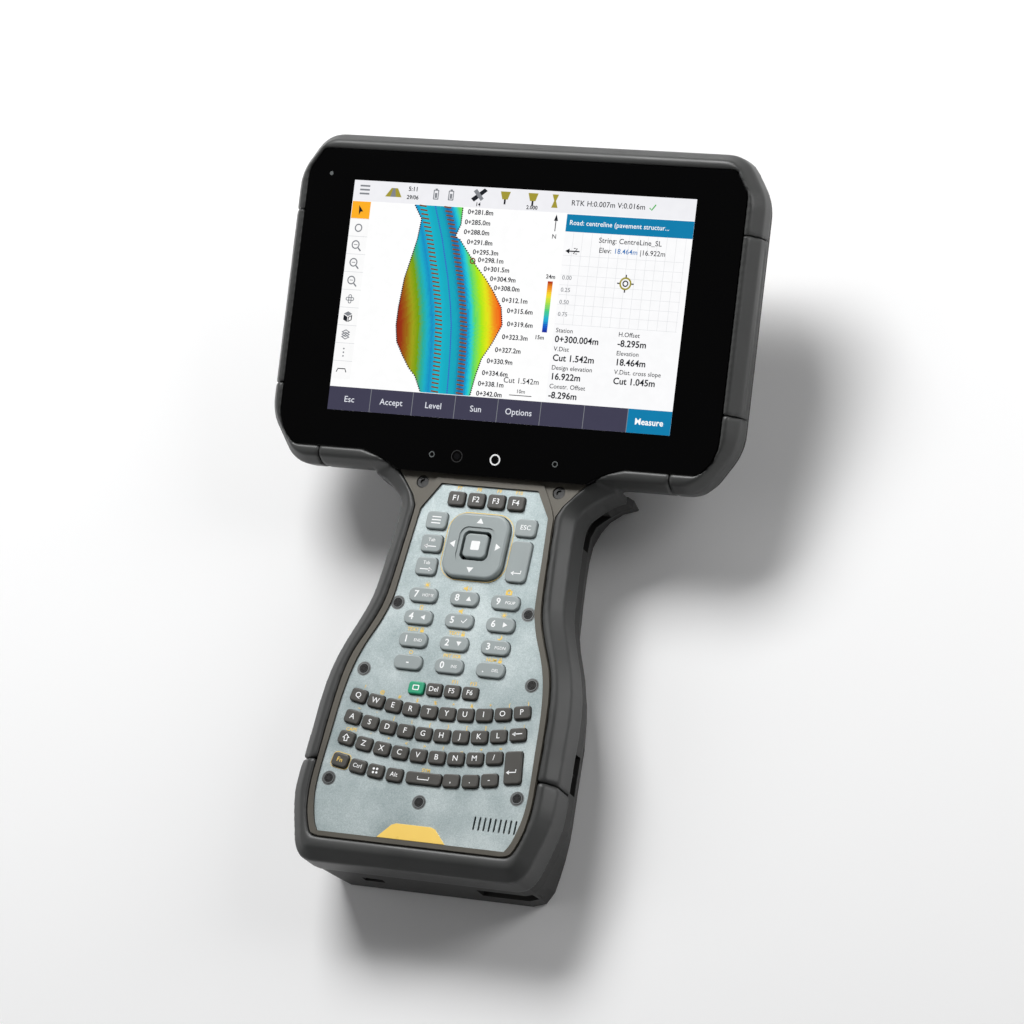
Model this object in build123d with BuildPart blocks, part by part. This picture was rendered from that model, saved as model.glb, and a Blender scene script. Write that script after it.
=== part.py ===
"""Rugged survey data collector: a wide tablet head on a keypad handle.

Row frame: X to the right, Y from the foot of the handle to the top of the head,
Z out of the keypad.  The handle lies flat on its back and the head rises at a
small angle.  Two working planes are used:
  KP  the keypad plane, local (x, -s, n): s runs down the keypad from the hinge line
  HP  the screen plane, local (x, y, z): centred on the display, z out of the glass
"""
import os
from math import atan, cos, degrees, radians, sin, sqrt

from build123d import *

os.makedirs("parts", exist_ok=True)

# ------------------------------------------------------------------ driving dimensions (mm)
TILT = 13.76            # angle between the screen and the keypad
HINGE_Y = 15.035        # row Y of the line where screen and keypad planes meet
KEYPAD_Z = 40.2         # row Z of the keypad plane
SCREEN_DROP = 3.25      # keypad plane lies this far below the glass at the hinge line
SCREEN_MID = 69.0       # hinge line to the middle of the display, along the glass

HEAD_HALF = 102.5       # half width of the head over the bumpers
HEAD_TOP = 66.5
HEAD_BOTTOM = -69.5
HEAD_RIM = 0.45         # bumper rim above the glass
HEAD_PART = -13.0       # parting plane bumper / rear housing, head
HEAD_BACK = -27.5       # back face of the head
GRIP_PART = -16.0       # parting plane bumper / rear housing, handle
GRIP_BACK = -39.0       # back face of the handle
FOOT_H = 1.2            # rubber feet

GLASS_T = 1.2
PANEL_T = 1.2
KEY_GAP = 0.25          # running gap between a key and its hole in the panel
KEY_DEEP = -2.5         # underside of every key
MAT_TOP = -3.6
MAT_T = 1.0
BOARD_T = 1.6

PACK_X0, PACK_X1 = 45.5, 88.0     # battery pack, |x|
PACK_Y = 42.0                     # battery pack half length
PACK_Z = -15.7                    # inner face of the battery pack

t = radians(TILT)
HINGE = Vector(0, HINGE_Y, KEYPAD_Z)
FX, FY, FZ = Vector(1, 0, 0), Vector(0, cos(t), sin(t)), Vector(0, -sin(t), cos(t))
KP = Plane(origin=HINGE, x_dir=(1, 0, 0), z_dir=(0, 0, 1))
HP = Plane(origin=HINGE + FY * SCREEN_MID + FZ * SCREEN_DROP, x_dir=(1, 0, 0), z_dir=FZ)
MITRE = Plane(origin=HINGE, x_dir=(1, 0, 0), z_dir=(0, cos(t / 2), sin(t / 2)))


def finish(piece, label):
    piece.part.label = label
    export_step(piece.part, f"parts/{label}.step")


# ------------------------------------------------------------------ outlines
# right-hand half of each outline on the keypad plane, (x, s), top to bottom
GRIP_SIDE = [(53, 1.4), (48, 3.7), (43, 7.6), (40, 10.5), (38.6, 14.5), (38.7, 20), (39.5, 30),
             (40.5, 40), (41.9, 52), (45, 62), (49.5, 73.4), (52.6, 84), (54.3, 96), (55.2, 113),
             (56.2, 129), (56.2, 137), (54.6, 145), (52.3, 153.5), (50.9, 158), (47.6, 162.6), (43, 164)]
BACK_SIDE = [(48, -4), (42, -2), (37, 2), (34, 7), (32, 13), (31.8, 20), (32.5, 30), (33.5, 40), (34.9, 52),
             (38, 63), (42.5, 75), (45.6, 86), (47.3, 98), (48.2, 113), (49.2, 127), (49.6, 135), (49.4, 143),
             (48.8, 150), (47.9, 156.5), (45.4, 161.4), (40, 163.2)]
BEZEL_SIDE = [(41.1, 0.2), (36.5, 5.5), (32.9, 10.1), (30.9, 14.3), (31.1, 20), (32, 31.5), (33.5, 49),
              (35.2, 58.5), (39, 68.5), (43.1, 78), (45.4, 88), (46.8, 102.5), (47.8, 121.6), (48.3, 133),
              (47.4, 143), (45.2, 150.3), (43.2, 153.8), (39.5, 154.8)]
PANEL_SIDE = [(21.3, 4.4), (24.9, 10.4), (28, 15.5), (28.6, 22.4), (29.3, 31.5), (30.6, 49.6), (31.5, 56.2),
              (34.3, 64.8), (38.4, 74), (41.5, 84), (43.5, 97), (44.5, 111.6), (45.5, 126), (45.6, 134.4),
              (44.8, 141), (42.8, 148.5), (40.6, 152.4)]
RING_SIDE = [(20.5, 0.7), (23.5, 1.8), (27.6, 8.7), (30.3, 14.6), (30.9, 21), (31.8, 31.5), (33.3, 49),
             (35.0, 58.5), (38.8, 68.5), (42.9, 78), (45.2, 88), (46.6, 102.5), (47.6, 121.6), (48.1, 133),
             (47.2, 143), (45.0, 150.3), (43.0, 153.6), (39.3, 154.6)]


def grown(side, grow):
    """The half outline moved outward by `grow` along its own normals."""
    out = []
    for i, (x, s) in enumerate(side):
        x0, s0 = side[max(i - 1, 0)]
        x1, s1 = side[min(i + 1, len(side) - 1)]
        dx, ds = x1 - x0, s1 - s0
        d = sqrt(dx * dx + ds * ds)
        nx, ns = ds / d, -dx / d
        if i == len(side) - 1:
            nx, ns = 0.0, 1.0
        if i == 0 and side is PANEL_SIDE:
            nx, ns = 0.3, -1.0
        out.append((x + nx * grow, s + ns * grow))
    return out


def eased(pts, fine):
    """Catmull-Rom points through `pts`, `fine` steps to each span."""
    out = []
    for i in range(len(pts) - 1):
        p0, p1, p2, p3 = pts[max(i - 1, 0)], pts[i], pts[i + 1], pts[min(i + 2, len(pts) - 1)]
        for k in range(fine):
            u = k / fine
            out.append(tuple(0.5 * (2 * b + (c - a) * u + (2 * a - 5 * b + 4 * c - d) * u * u
                                    + (3 * b - a - 3 * c + d) * u ** 3) for a, b, c, d in zip(p0, p1, p2, p3)))
    return out + [pts[-1]]


def grip_outline(side, grow=0.0, smooth_from=0, top=None, fine=3):
    """A closed sketch symmetric about x = 0 whose right side follows `side`."""
    pts = grown(side, grow) if grow else list(side)
    pts = pts[:smooth_from] + eased(pts[smooth_from:], fine)
    right = [(x, -s) for x, s in pts]
    if top is not None:
        right = [(pts[0][0], -top)] + right
    with BuildSketch(Plane.XY) as sk:
        with BuildLine():
            Polyline(*(right + [(-x, y) for x, y in reversed(right)]), close=True)
        make_face()
    return sk.sketch


def head_outline(grow=0.0, r1=13.0, r2=20.0):
    """The head's eight-sided outline with eased corners, grown by `grow`."""
    k = 0.54 * grow
    with BuildSketch(Plane.XY) as sk:
        with BuildLine():
            Polyline((-92 - k, HEAD_TOP + grow), (92 + k, HEAD_TOP + grow), (HEAD_HALF + grow, 50 + 0.3 * grow),
                     (HEAD_HALF + grow, -50 - 0.3 * grow), (89.5 + k, HEAD_BOTTOM - grow), (-89.5 - k, HEAD_BOTTOM - grow),
                     (-HEAD_HALF - grow, -50 - 0.3 * grow), (-HEAD_HALF - grow, 50 + 0.3 * grow), close=True)
        make_face()
        fillet([v for v in sk.vertices() if abs(v.Y) > 52], radius=max(r1 + grow, 2.0))
        fillet([v for v in sk.vertices() if abs(abs(v.X) - HEAD_HALF - grow) < 0.01], radius=max(r2 + grow, 2.0))
    return sk.sketch


GLASS_RIGHT = [(90.6, 59.2), (95.6, 51.5), (96.3, 48.5), (96.3, -48), (95.8, -51.5), (93.8, -56.6), (90.0, -60.8),
               (87.5, -61.8), (57.5, -61.8), (50.5, -64.0), (45.3, -66.4), (41.5, -68.7), (40.0, -69.0)]


def glass_outline(grow=0.0):
    """The outline of the cover glass, grown by `grow`."""
    with BuildSketch(Plane.XY) as sk:
        with BuildLine():
            Polyline(*([(0, 59.4), (88.5, 59.4)] + GLASS_RIGHT + [(0, -69.0)]))
            mirror(about=Plane.YZ)
        make_face()
        if grow:
            offset(amount=grow, kind=Kind.INTERSECTION)
    return sk.sketch


# ------------------------------------------------------------------ front frame (chassis)
with BuildPart() as frame_head:
    with BuildSketch(HP.offset(HEAD_PART)):
        add(glass_outline(0.3))
    extrude(amount=-HEAD_PART - GLASS_T - 0.05)
    with BuildSketch(HP.offset(-6.2)):
        with Locations((0, 1)):
            Rectangle(166, 108)
    extrude(amount=6, mode=Mode.SUBTRACT)
    with BuildSketch(HP.offset(HEAD_PART)):
        with Locations((0, 0)):
            Rectangle(180, 106)
    extrude(amount=5, mode=Mode.SUBTRACT)
    split(bisect_by=MITRE, keep=Keep.TOP)

SCREWS_PANEL = [(28.6, 55.7), (-28.6, 55.7), (36.7, 84.4), (-36.7, 84.4), (41.0, 130.6), (-41.0, 130.6), (0, 136.4)]
SCREWS_NECK = [(30.0, 4.2), (-30.0, 4.2)]

with BuildPart() as frame_grip:
    with BuildSketch(KP.offset(GRIP_PART)):
        add(grip_outline(BEZEL_SIDE, -0.1, smooth_from=3, top=-6))
    extrude(amount=-GRIP_PART - PANEL_T - 0.1)
    with BuildSketch(KP.offset(-6.6)):
        add(grip_outline(PANEL_SIDE, -2.2, smooth_from=2))
    extrude(amount=8, mode=Mode.SUBTRACT)
    with BuildSketch(KP.offset(-6.6)):
        with Locations(*[(x, -s) for x, s in SCREWS_PANEL]):
            Circle(3.3)
    extrude(amount=6.6 - PANEL_T - 0.5)
    with BuildSketch(KP.offset(GRIP_PART)):
        with Locations((0, -75)):
            Rectangle(52, 130)
    extrude(amount=7.4, mode=Mode.SUBTRACT)
    with BuildSketch(KP):
        with Locations(*[(x, -s) for x, s in SCREWS_PANEL + SCREWS_NECK]):
            Circle(1.3)
    extrude(amount=-7.2, mode=Mode.SUBTRACT)
    with BuildSketch(KP):
        with Locations(*[(x, -s) for x, s in SCREWS_PANEL]):
            Circle(2.6)
    extrude(amount=-PANEL_T - 0.5, mode=Mode.SUBTRACT)
    with BuildSketch(KP):
        with Locations(*[(x, -s) for x, s in SCREWS_NECK]):
            Circle(2.8)
    extrude(amount=-1.8, mode=Mode.SUBTRACT)
    split(bisect_by=MITRE, keep=Keep.BOTTOM)

with BuildPart() as front_frame:
    add(frame_head.part)
    add(frame_grip.part)
finish(front_frame, "front_frame")

# ------------------------------------------------------------------ cover glass and display
with BuildPart() as cover_glass:
    with BuildSketch(HP.offset(-GLASS_T)):
        add(glass_outline())
    extrude(amount=GLASS_T)
finish(cover_glass, "cover_glass")

with BuildPart() as display_panel:
    with BuildSketch(HP.offset(-6.0)):
        with Locations((0, 1)):
            Rectangle(164, 105)
    extrude(amount=4.5)
    fillet(display_panel.edges().filter_by(lambda e: abs(e.tangent_at(0).dot(FZ)) > 0.99), radius=1.5)
finish(display_panel, "display_panel")

# ------------------------------------------------------------------ bumpers
CUT_TOP, CUT_CORNER, CUT_BOTTOM_X, CUT_GRIP_S = 34.0, -37.5, 77.0, 123.0

with BuildPart() as guard_head:                      # the whole head guard, cut into pieces below
    with BuildSketch(HP.offset(HEAD_PART)):
        add(head_outline())
    extrude(amount=HEAD_RIM - HEAD_PART)
    rim = guard_head.faces().sort_by(Axis(HP.origin, HP.z_dir))[-1]
    chamfer(rim.edges(), length=5.6, length2=3.6)
    rim = guard_head.faces().sort_by(Axis(HP.origin, HP.z_dir))[-1]
    fillet(rim.edges(), radius=0.9)
    with BuildSketch(HP.offset(HEAD_PART)):
        add(glass_outline(0.35))
    extrude(amount=20, mode=Mode.SUBTRACT)


def slab(plane, x0, x1, y0, y1, z0=-40.0, z1=10.0):
    """A box in a working plane, used to cut the guards into their pieces."""
    return plane.location * Pos((x0 + x1) / 2, (y0 + y1) / 2, (z0 + z1) / 2) * Box(
        x1 - x0, y1 - y0, z1 - z0, mode=Mode.PRIVATE)


G = 0.05   # half the gap between neighbouring bumper pieces
with BuildPart() as bumper_top:
    add(guard_head.part)
    add(slab(HP, -120, 120, CUT_TOP + G, 90), mode=Mode.INTERSECT)
finish(bumper_top, "bumper_top")

for side, word in ((-1, "left"), (1, "right")):
    with BuildPart() as bumper_side:
        add(guard_head.part)
        add(slab(HP, *sorted((side * 40, side * 120)), CUT_CORNER + G, CUT_TOP - G), mode=Mode.INTERSECT)
        # grip groove along the side wall
        add(slab(HP, *sorted((side * (HEAD_HALF - 0.7), side * 120)), CUT_CORNER + 3, CUT_TOP - 3, -10.6, -9.4), mode=Mode.SUBTRACT)
    finish(bumper_side, f"bumper_side_{word}")

    with BuildPart() as bumper_corner:
        add(guard_head.part)
        add(slab(HP, *sorted((side * (CUT_BOTTOM_X + G), side * 120)), -90, CUT_CORNER - G), mode=Mode.INTERSECT)
    finish(bumper_corner, f"bumper_corner_{word}")

with BuildPart() as guard_grip:                      # the whole handle guard
    with BuildSketch(KP.offset(GRIP_PART)):
        add(grip_outline(GRIP_SIDE, top=-8, fine=2))
    extrude(amount=-GRIP_PART - 3.4)
    with BuildSketch(KP.offset(-3.4)):
        add(grip_outline(GRIP_SIDE, top=-8, fine=2))
    with BuildSketch(KP.offset(0.4)):
        add(grip_outline(GRIP_SIDE, -4.4, top=-8, fine=2))
    loft(ruled=True)
    with BuildSketch(KP.offset(0.4)):
        add(grip_outline(GRIP_SIDE, -4.4, top=-8, fine=2))
    with BuildSketch(KP.offset(0.9)):
        add(grip_outline(GRIP_SIDE, -5.3, top=-8, fine=2))
    loft(ruled=True)
    with BuildSketch(KP.offset(GRIP_PART)):
        add(grip_outline(BEZEL_SIDE, 0.12, smooth_from=3, top=-20))
    extrude(amount=20, mode=Mode.SUBTRACT)

for side, word in ((-1, "left"), (1, "right")):
    with BuildPart() as grip_top:
        add(guard_head.part)
        add(slab(HP, *sorted((side * 36, side * (CUT_BOTTOM_X - G))), -90, -50), mode=Mode.INTERSECT)
        split(bisect_by=MITRE, keep=Keep.TOP)
    with BuildPart() as grip_low:
        add(guard_grip.part)
        add(slab(KP, *sorted((side * 20, side * (CUT_BOTTOM_X - G))), -CUT_GRIP_S + G, 20), mode=Mode.INTERSECT)
        split(bisect_by=MITRE, keep=Keep.BOTTOM)
    with BuildPart() as bumper_grip:
        add(grip_top.part)
        add(grip_low.part)
    finish(bumper_grip, f"bumper_grip_{word}")

with BuildPart() as bumper_bottom:
    add(guard_grip.part)
    add(slab(KP, -80, 80, -200, -CUT_GRIP_S - G), mode=Mode.INTERSECT)
finish(bumper_bottom, "bumper_bottom")

# ------------------------------------------------------------------ rear housing
WINDOWS = [(13.0, 38.6), (113.5, 55.3)]              # strap windows: middle s, half width of the handle there
WINDOW_LONG, WINDOW_HIGH, WINDOW_DEEP = 16.0, 5.0, 8.0
WINDOW_N = GRIP_PART - 3.6                           # middle of the window below the keypad plane
DOCK_N = -27.2                                       # middle of the docking recess


def shell_head(inset, back):
    """The back of the head: a straight wall, then a long bevel to the back face."""
    with BuildPart() as body:
        with BuildSketch(HP.offset(HEAD_PART)):
            add(head_outline(-1.4 - inset, r1=16, r2=24))
        extrude(amount=-4.0)
        with BuildSketch(HP.offset(HEAD_PART - 4.0)):
            add(head_outline(-1.4 - inset, r1=16, r2=24))
        with BuildSketch(HP.offset(back)):
            add(head_outline(-9.5 - inset, r1=16, r2=24))
        loft()
    return body.part


def shell_grip(inset, back):
    """The back of the handle: a straight wall, then a long bevel to the back face."""
    with BuildPart() as body:
        with BuildSketch(KP.offset(GRIP_PART)):
            add(grip_outline(GRIP_SIDE, -1.0 - inset, top=-10, fine=1))
        extrude(amount=-6.5)
        with BuildSketch(KP.offset(GRIP_PART - 6.5)):
            add(grip_outline(GRIP_SIDE, -1.0 - inset, top=-10, fine=1))
        with BuildSketch(KP.offset(back)):
            add(grip_outline(BACK_SIDE, -inset * 0.8, top=-10, fine=1))
        loft(ruled=True)
    return body.part


with BuildPart() as rear_grip_hollow:
    add(shell_grip(2.4, GRIP_BACK + 2.6))
    split(bisect_by=MITRE.offset(-2), keep=Keep.BOTTOM)
with BuildPart() as rear_grip:
    add(shell_grip(0, GRIP_BACK))
    split(bisect_by=MITRE, keep=Keep.BOTTOM)
    add(rear_grip_hollow.part, mode=Mode.SUBTRACT)
    # strap windows: a boss behind the wall, then the window cut through wall and boss
    for s_mid, half in WINDOWS:
        for side in (-1, 1):
            with BuildSketch(KP.offset(WINDOW_N - WINDOW_HIGH / 2 - 1.2)):
                with Locations((side * (half - 1.0 - WINDOW_DEEP / 2 - 0.9), -s_mid)):
                    Rectangle(WINDOW_DEEP - 0.6, WINDOW_LONG + 3)
            extrude(amount=WINDOW_HIGH + 1.9)
    for s_mid, half in WINDOWS:
        for side in (-1, 1):
            with BuildSketch(KP.offset(WINDOW_N - WINDOW_HIGH / 2)):
                with Locations((side * (half + 2.0), -s_mid)):
                    Rectangle(2 * WINDOW_DEEP + 3.0, WINDOW_LONG)
            extrude(amount=WINDOW_HIGH, mode=Mode.SUBTRACT)
    # docking recess in the foot
    with BuildSketch(Plane(origin=HINGE + Vector(33.5, -161.2, DOCK_N), x_dir=(1, 0, 0), z_dir=(0, 1, 0))):
        Rectangle(27, 10.6)
    extrude(amount=9.6)
    with BuildSketch(Plane(origin=HINGE + Vector(33.5, -175, DOCK_N), x_dir=(1, 0, 0), z_dir=(0, 1, 0))):
        Rectangle(24, 7.4)
    extrude(amount=21.5, mode=Mode.SUBTRACT)
    # small recess on the left of the foot
    with BuildSketch(Plane(origin=HINGE + Vector(-25, -170, DOCK_N), x_dir=(1, 0, 0), z_dir=(0, 1, 0))):
        Rectangle(9, 4)
    extrude(amount=7.9, mode=Mode.SUBTRACT)

with BuildPart() as rear_head_hollow:
    add(shell_head(2.4, HEAD_BACK + 2.4))
    split(bisect_by=MITRE.offset(2), keep=Keep.TOP)
with BuildPart() as rear_head:
    add(shell_head(0, HEAD_BACK))
    split(bisect_by=MITRE, keep=Keep.TOP)
    add(rear_head_hollow.part, mode=Mode.SUBTRACT)
    # battery bays: a walled well each side, open at the back
    for side in (-1, 1):
        with BuildSketch(HP.offset(HEAD_BACK + 1)):
            with Locations((side * (PACK_X0 + PACK_X1) / 2, 0)):
                Rectangle(PACK_X1 - PACK_X0 + 3.4, 2 * PACK_Y + 3.4)
        extrude(amount=PACK_Z + 1.6 - HEAD_BACK - 1)
        with BuildSketch(HP.offset(HEAD_BACK - 8)):
            with Locations((side * (PACK_X0 + PACK_X1) / 2, 0)):
                RectangleRounded(PACK_X1 - PACK_X0 + 0.7, 2 * PACK_Y + 0.7, 3.0)
        extrude(amount=PACK_Z + 0.3 - HEAD_BACK + 8, mode=Mode.SUBTRACT)
        # latch track beside each pack
        with BuildSketch(HP.offset(HEAD_BACK - 4)):
            with Locations((side * 66.5, 50.2)):
                RectangleRounded(24.0, 8.0, 2.0)
        extrude(amount=5.6, mode=Mode.SUBTRACT)

# the spine behind the head: it carries the module bay and the two upper feet
SPINE_HALF = 32.0
SPINE_END = 44.0
spine_profile = [(-14, GRIP_BACK), (SPINE_END, GRIP_BACK)]


def on_head(y, z):
    """A point of the screen plane's (y, z) in keypad-plane (y, n)."""
    dy, dz = y + SCREEN_MID, z + SCREEN_DROP
    return (dy * cos(t) - dz * sin(t), dy * sin(t) + dz * cos(t))


spine_profile += [on_head(38, -34.5), on_head(46, -27), on_head(46, -22), on_head(-60, -22), (-14, -24)]
SIDE = Plane(origin=HINGE, x_dir=(0, 1, 0), z_dir=(1, 0, 0))    # local (y, n)
with BuildPart() as spine:
    with BuildSketch(SIDE):
        with BuildLine():
            Polyline(*spine_profile, close=True)
        make_face()
    extrude(amount=SPINE_HALF, both=True)
    low = [e for e in spine.edges() if abs(abs(e.center().X) - SPINE_HALF) < 0.01 and e.center().Z < KEYPAD_Z + on_head(42, -30)[1] + 0.5
           and e.center().Z - KEYPAD_Z < -25 + 0.28 * (e.center().Y - HINGE_Y) - 3]
    chamfer(low, length=4.5)

bay_lo, bay_hi = Vector(0, *on_head(38, -34.5)), Vector(0, SPINE_END, GRIP_BACK)
slope = (bay_lo - bay_hi).normalized()
BAY = Plane(origin=HINGE + (bay_lo + bay_hi) * 0.5, x_dir=(1, 0, 0), z_dir=slope.cross(Vector(1, 0, 0)))
BAY_LONG = (bay_lo - bay_hi).length

with BuildPart() as rear_housing:
    add(rear_head.part)
    add(rear_grip.part)
    add(spine.part)
    # module bay cover seat
    with BuildSketch(BAY.offset(5)):
        RectangleRounded(50.6, BAY_LONG - 9.4, 5.0)
    extrude(amount=-7.0, mode=Mode.SUBTRACT)
    # camera window
    with BuildSketch(HP.offset(HEAD_BACK - 10)):
        with Locations((0, 52.0)):
            Circle(4.65)
    extrude(amount=16, mode=Mode.SUBTRACT)
finish(rear_housing, "rear_housing")

# ------------------------------------------------------------------ back fittings
with BuildPart() as module_cover:
    with BuildSketch(BAY.offset(-1.9)):
        RectangleRounded(50.0, BAY_LONG - 10.0, 4.8)
    extrude(amount=2.6)
    with BuildSketch(BAY.offset(0.7)):
        with GridLocations(0, 7.0, 1, 5):
            RectangleRounded(34, 2.2, 1.0)
    extrude(amount=-0.6, mode=Mode.SUBTRACT)
finish(module_cover, "module_cover")

for side, word in ((-1, "left"), (1, "right")):
    with BuildPart() as battery:
        with BuildSketch(HP.offset(HEAD_BACK - 0.4)):
            with Locations((side * (PACK_X0 + PACK_X1) / 2, 0)):
                RectangleRounded(PACK_X1 - PACK_X0, 2 * PACK_Y, 2.7)
        extrude(amount=PACK_Z - HEAD_BACK + 0.4)
        with BuildSketch(HP.offset(HEAD_BACK - 0.4)):
            with Locations((side * (PACK_X0 + PACK_X1) / 2, -30)):
                with GridLocations(0, 4.0, 1, 4):
                    RectangleRounded(26, 1.6, 0.7)
        extrude(amount=0.7, mode=Mode.SUBTRACT)
    finish(battery, f"battery_{word}")

    with BuildPart() as latch:
        with BuildSketch(HP.offset(HEAD_BACK - 0.2)):
            with Locations((side * 63.5, 50.2)):
                RectangleRounded(17.0, 7.2, 1.8)
        extrude(amount=1.5)
        with BuildSketch(HP.offset(HEAD_BACK - 1.3)):
            with Locations((side * 63.5, 50.2)):
                with GridLocations(2.6, 0, 4, 1):
                    RectangleRounded(1.2, 5.6, 0.5)
        extrude(amount=1.1)
    finish(latch, f"battery_latch_{word}")

with BuildPart() as rear_camera:
    with BuildSketch(HP.offset(HEAD_BACK - 0.3)):
        with Locations((0, 52.0)):
            Circle(4.5)
    extrude(amount=5.0)
    with BuildSketch(HP.offset(HEAD_BACK - 0.3)):
        with Locations((0, 52.0)):
            Circle(2.6)
    extrude(amount=0.8, mode=Mode.SUBTRACT)
finish(rear_camera, "rear_camera")

FEET = [(-27, 143), (27, 143), (-21, -30), (21, -30)]
with BuildPart() as rubber_feet:
    with BuildSketch(KP.offset(GRIP_BACK)):
        with Locations(*[(x, -s) for x, s in FEET]):
            SlotOverall(16, 9)
    extrude(amount=-FOOT_H)
finish(rubber_feet, "rubber_feet")

with BuildPart() as strap_bars:
    for s_mid, half in WINDOWS:
        for side in (-1, 1):
            with BuildSketch(KP.offset(WINDOW_N - WINDOW_HIGH / 2 - 0.0)):
                with Locations((side * (half - 3.6), -s_mid)):
                    Circle(1.25)
            extrude(amount=WINDOW_HIGH)
finish(strap_bars, "strap_bars")

with BuildPart() as dock_connector:
    with BuildSketch(Plane(origin=HINGE + Vector(33.5, -153.5, DOCK_N), x_dir=(1, 0, 0), z_dir=(0, 1, 0))):
        RectangleRounded(22.5, 6.4, 1.0)
    extrude(amount=-2.4)
    with BuildSketch(Plane(origin=HINGE + Vector(33.5, -155.9, DOCK_N), x_dir=(1, 0, 0), z_dir=(0, 1, 0))):
        with GridLocations(2.1, 0, 9, 1):
            Rectangle(1.0, 4.0)
    extrude(amount=-0.5)
finish(dock_connector, "dock_connector")

REAR_SCREWS = [(-40, 30), (40, 30), (-45, 75), (45, 75)]
with BuildPart() as case_screws:
    with BuildSketch(KP.offset(-PANEL_T - 0.5)):
        with Locations(*[(x, -s) for x, s in SCREWS_PANEL]):
            Circle(2.4)
    extrude(amount=PANEL_T + 0.7)
    with BuildSketch(KP.offset(-1.8)):
        with Locations(*[(x, -s) for x, s in SCREWS_NECK]):
            Circle(2.4)
    extrude(amount=1.5)
    with BuildSketch(KP.offset(-PANEL_T - 0.5)):
        with Locations(*[(x, -s) for x, s in SCREWS_PANEL + SCREWS_NECK]):
            Circle(1.2)
    extrude(amount=-5.0)
    with BuildSketch(KP.offset(0.25)):
        with Locations(*[(x, -s) for x, s in SCREWS_PANEL + SCREWS_NECK]):
            RegularPolygon(1.25, 6)
    extrude(amount=-1.2, mode=Mode.SUBTRACT)
finish(case_screws, "case_screws")

# ------------------------------------------------------------------ keypad: keys
# (label, x, s, width, height, corner, rise, turn in degrees)
ROUND = 0.55
KEYS = [("key_f1", -13.1, 10.4, 7.3, 6.0, 1.3, 1.4, 0), ("key_f2", -4.4, 10.4, 7.3, 6.0, 1.3, 1.4, 0),
        ("key_f3", 4.4, 10.4, 7.3, 6.0, 1.3, 1.4, 0), ("key_f4", 13.1, 10.4, 7.3, 6.0, 1.3, 1.4, 0),
        ("key_menu", -19.6, 20.2, 9.0, 7.4, 1.8, 1.3, 0), ("key_tab_back", -19.5, 30.0, 9.0, 7.4, 1.8, 1.3, 0),
        ("key_tab_forward", -19.6, 39.7, 9.0, 7.4, 1.8, 1.3, 0), ("key_escape", 19.7, 20.3, 9.0, 7.4, 1.8, 1.3, 0),
        ("key_enter_upper", 19.7, 34.5, 9.0, 17.3, 2.2, 1.3, 0)]
for i, name in enumerate(["7", "8", "9", "4", "5", "6", "1", "2", "3", "minus", "0", "point"]):
    KEYS.append((f"key_number_{name}", (-18.0, 0.0, 18.0)[i % 3], (51.8, 61.2, 70.7, 80.1)[i // 3], 12.2, 6.0, 2.5, 1.3, 0))
KEYS.append(("key_app", -11.9, 90.3, 6.7, 5.2, 1.3, 1.3, 0))
KEYS.append(("key_enter_lower", 36.8, 118.5, 7.3, 13.5, 1.3, 1.3, 8))

BOW = 0.00298           # the letter rows bow upward at their ends by BOW * x * x


def bowed(x, s0, w=7.0, h=5.4):
    return (x, s0 - BOW * x * x, w, h, 1.3, 1.3, degrees(atan(2 * BOW * x)) * 0.8)


ROWS = {
    "keys_edit_row": [(x, 90.3, 6.7, 5.2, 1.3, 1.3, 0) for x in (-4.1, 3.7, 11.6)],
    "keys_letter_row_1": [bowed(-35.9 + 7.93 * i, 99.7) for i in range(10)],
    "keys_letter_row_2": [bowed(-36.4 + 8.01 * i, 108.8) for i in range(10)],
    "keys_letter_row_3": [bowed(-37.0 + 8.12 * i, 117.8) for i in range(9)],
    "keys_modifier_row": [bowed(-37.5, 127.2), bowed(-29.3, 127.3), bowed(-21.2, 127.2), bowed(-12.8, 127.1),
                          (0.0, 126.8, 15.3, 4.9, 1.4, 1.3, 0), bowed(11.8, 126.9), bowed(20.0, 127.0), bowed(28.0, 126.9)],
}

HOLES = [k[1:] for k in KEYS] + [k for row in ROWS.values() for k in row]
PAD = (0.2, 29.8, 26.0, 27.0, 6.5, 2.4)       # rocker: x, s, width, height, corner, rise
BUTTON = 10.0

for name, x, s, w, h, r, rise, turn in KEYS:
    with BuildPart() as key:
        with BuildSketch(KP.offset(-PANEL_T - 0.3)):
            with Locations(Location((x, -s, 0), turn)):
                RectangleRounded(w, h, r)
        extrude(amount=PANEL_T + 0.3 + rise)
        fillet(key.faces().sort_by(Axis.Z)[-1].edges(), radius=ROUND)
        with BuildSketch(KP.offset(KEY_DEEP)):
            with Locations(Location((x, -s, 0), turn)):
                RectangleRounded(w + 0.5, h + 0.5, r + 0.25)
        extrude(amount=-PANEL_T - 0.3 - KEY_DEEP)
    finish(key, name)

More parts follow.
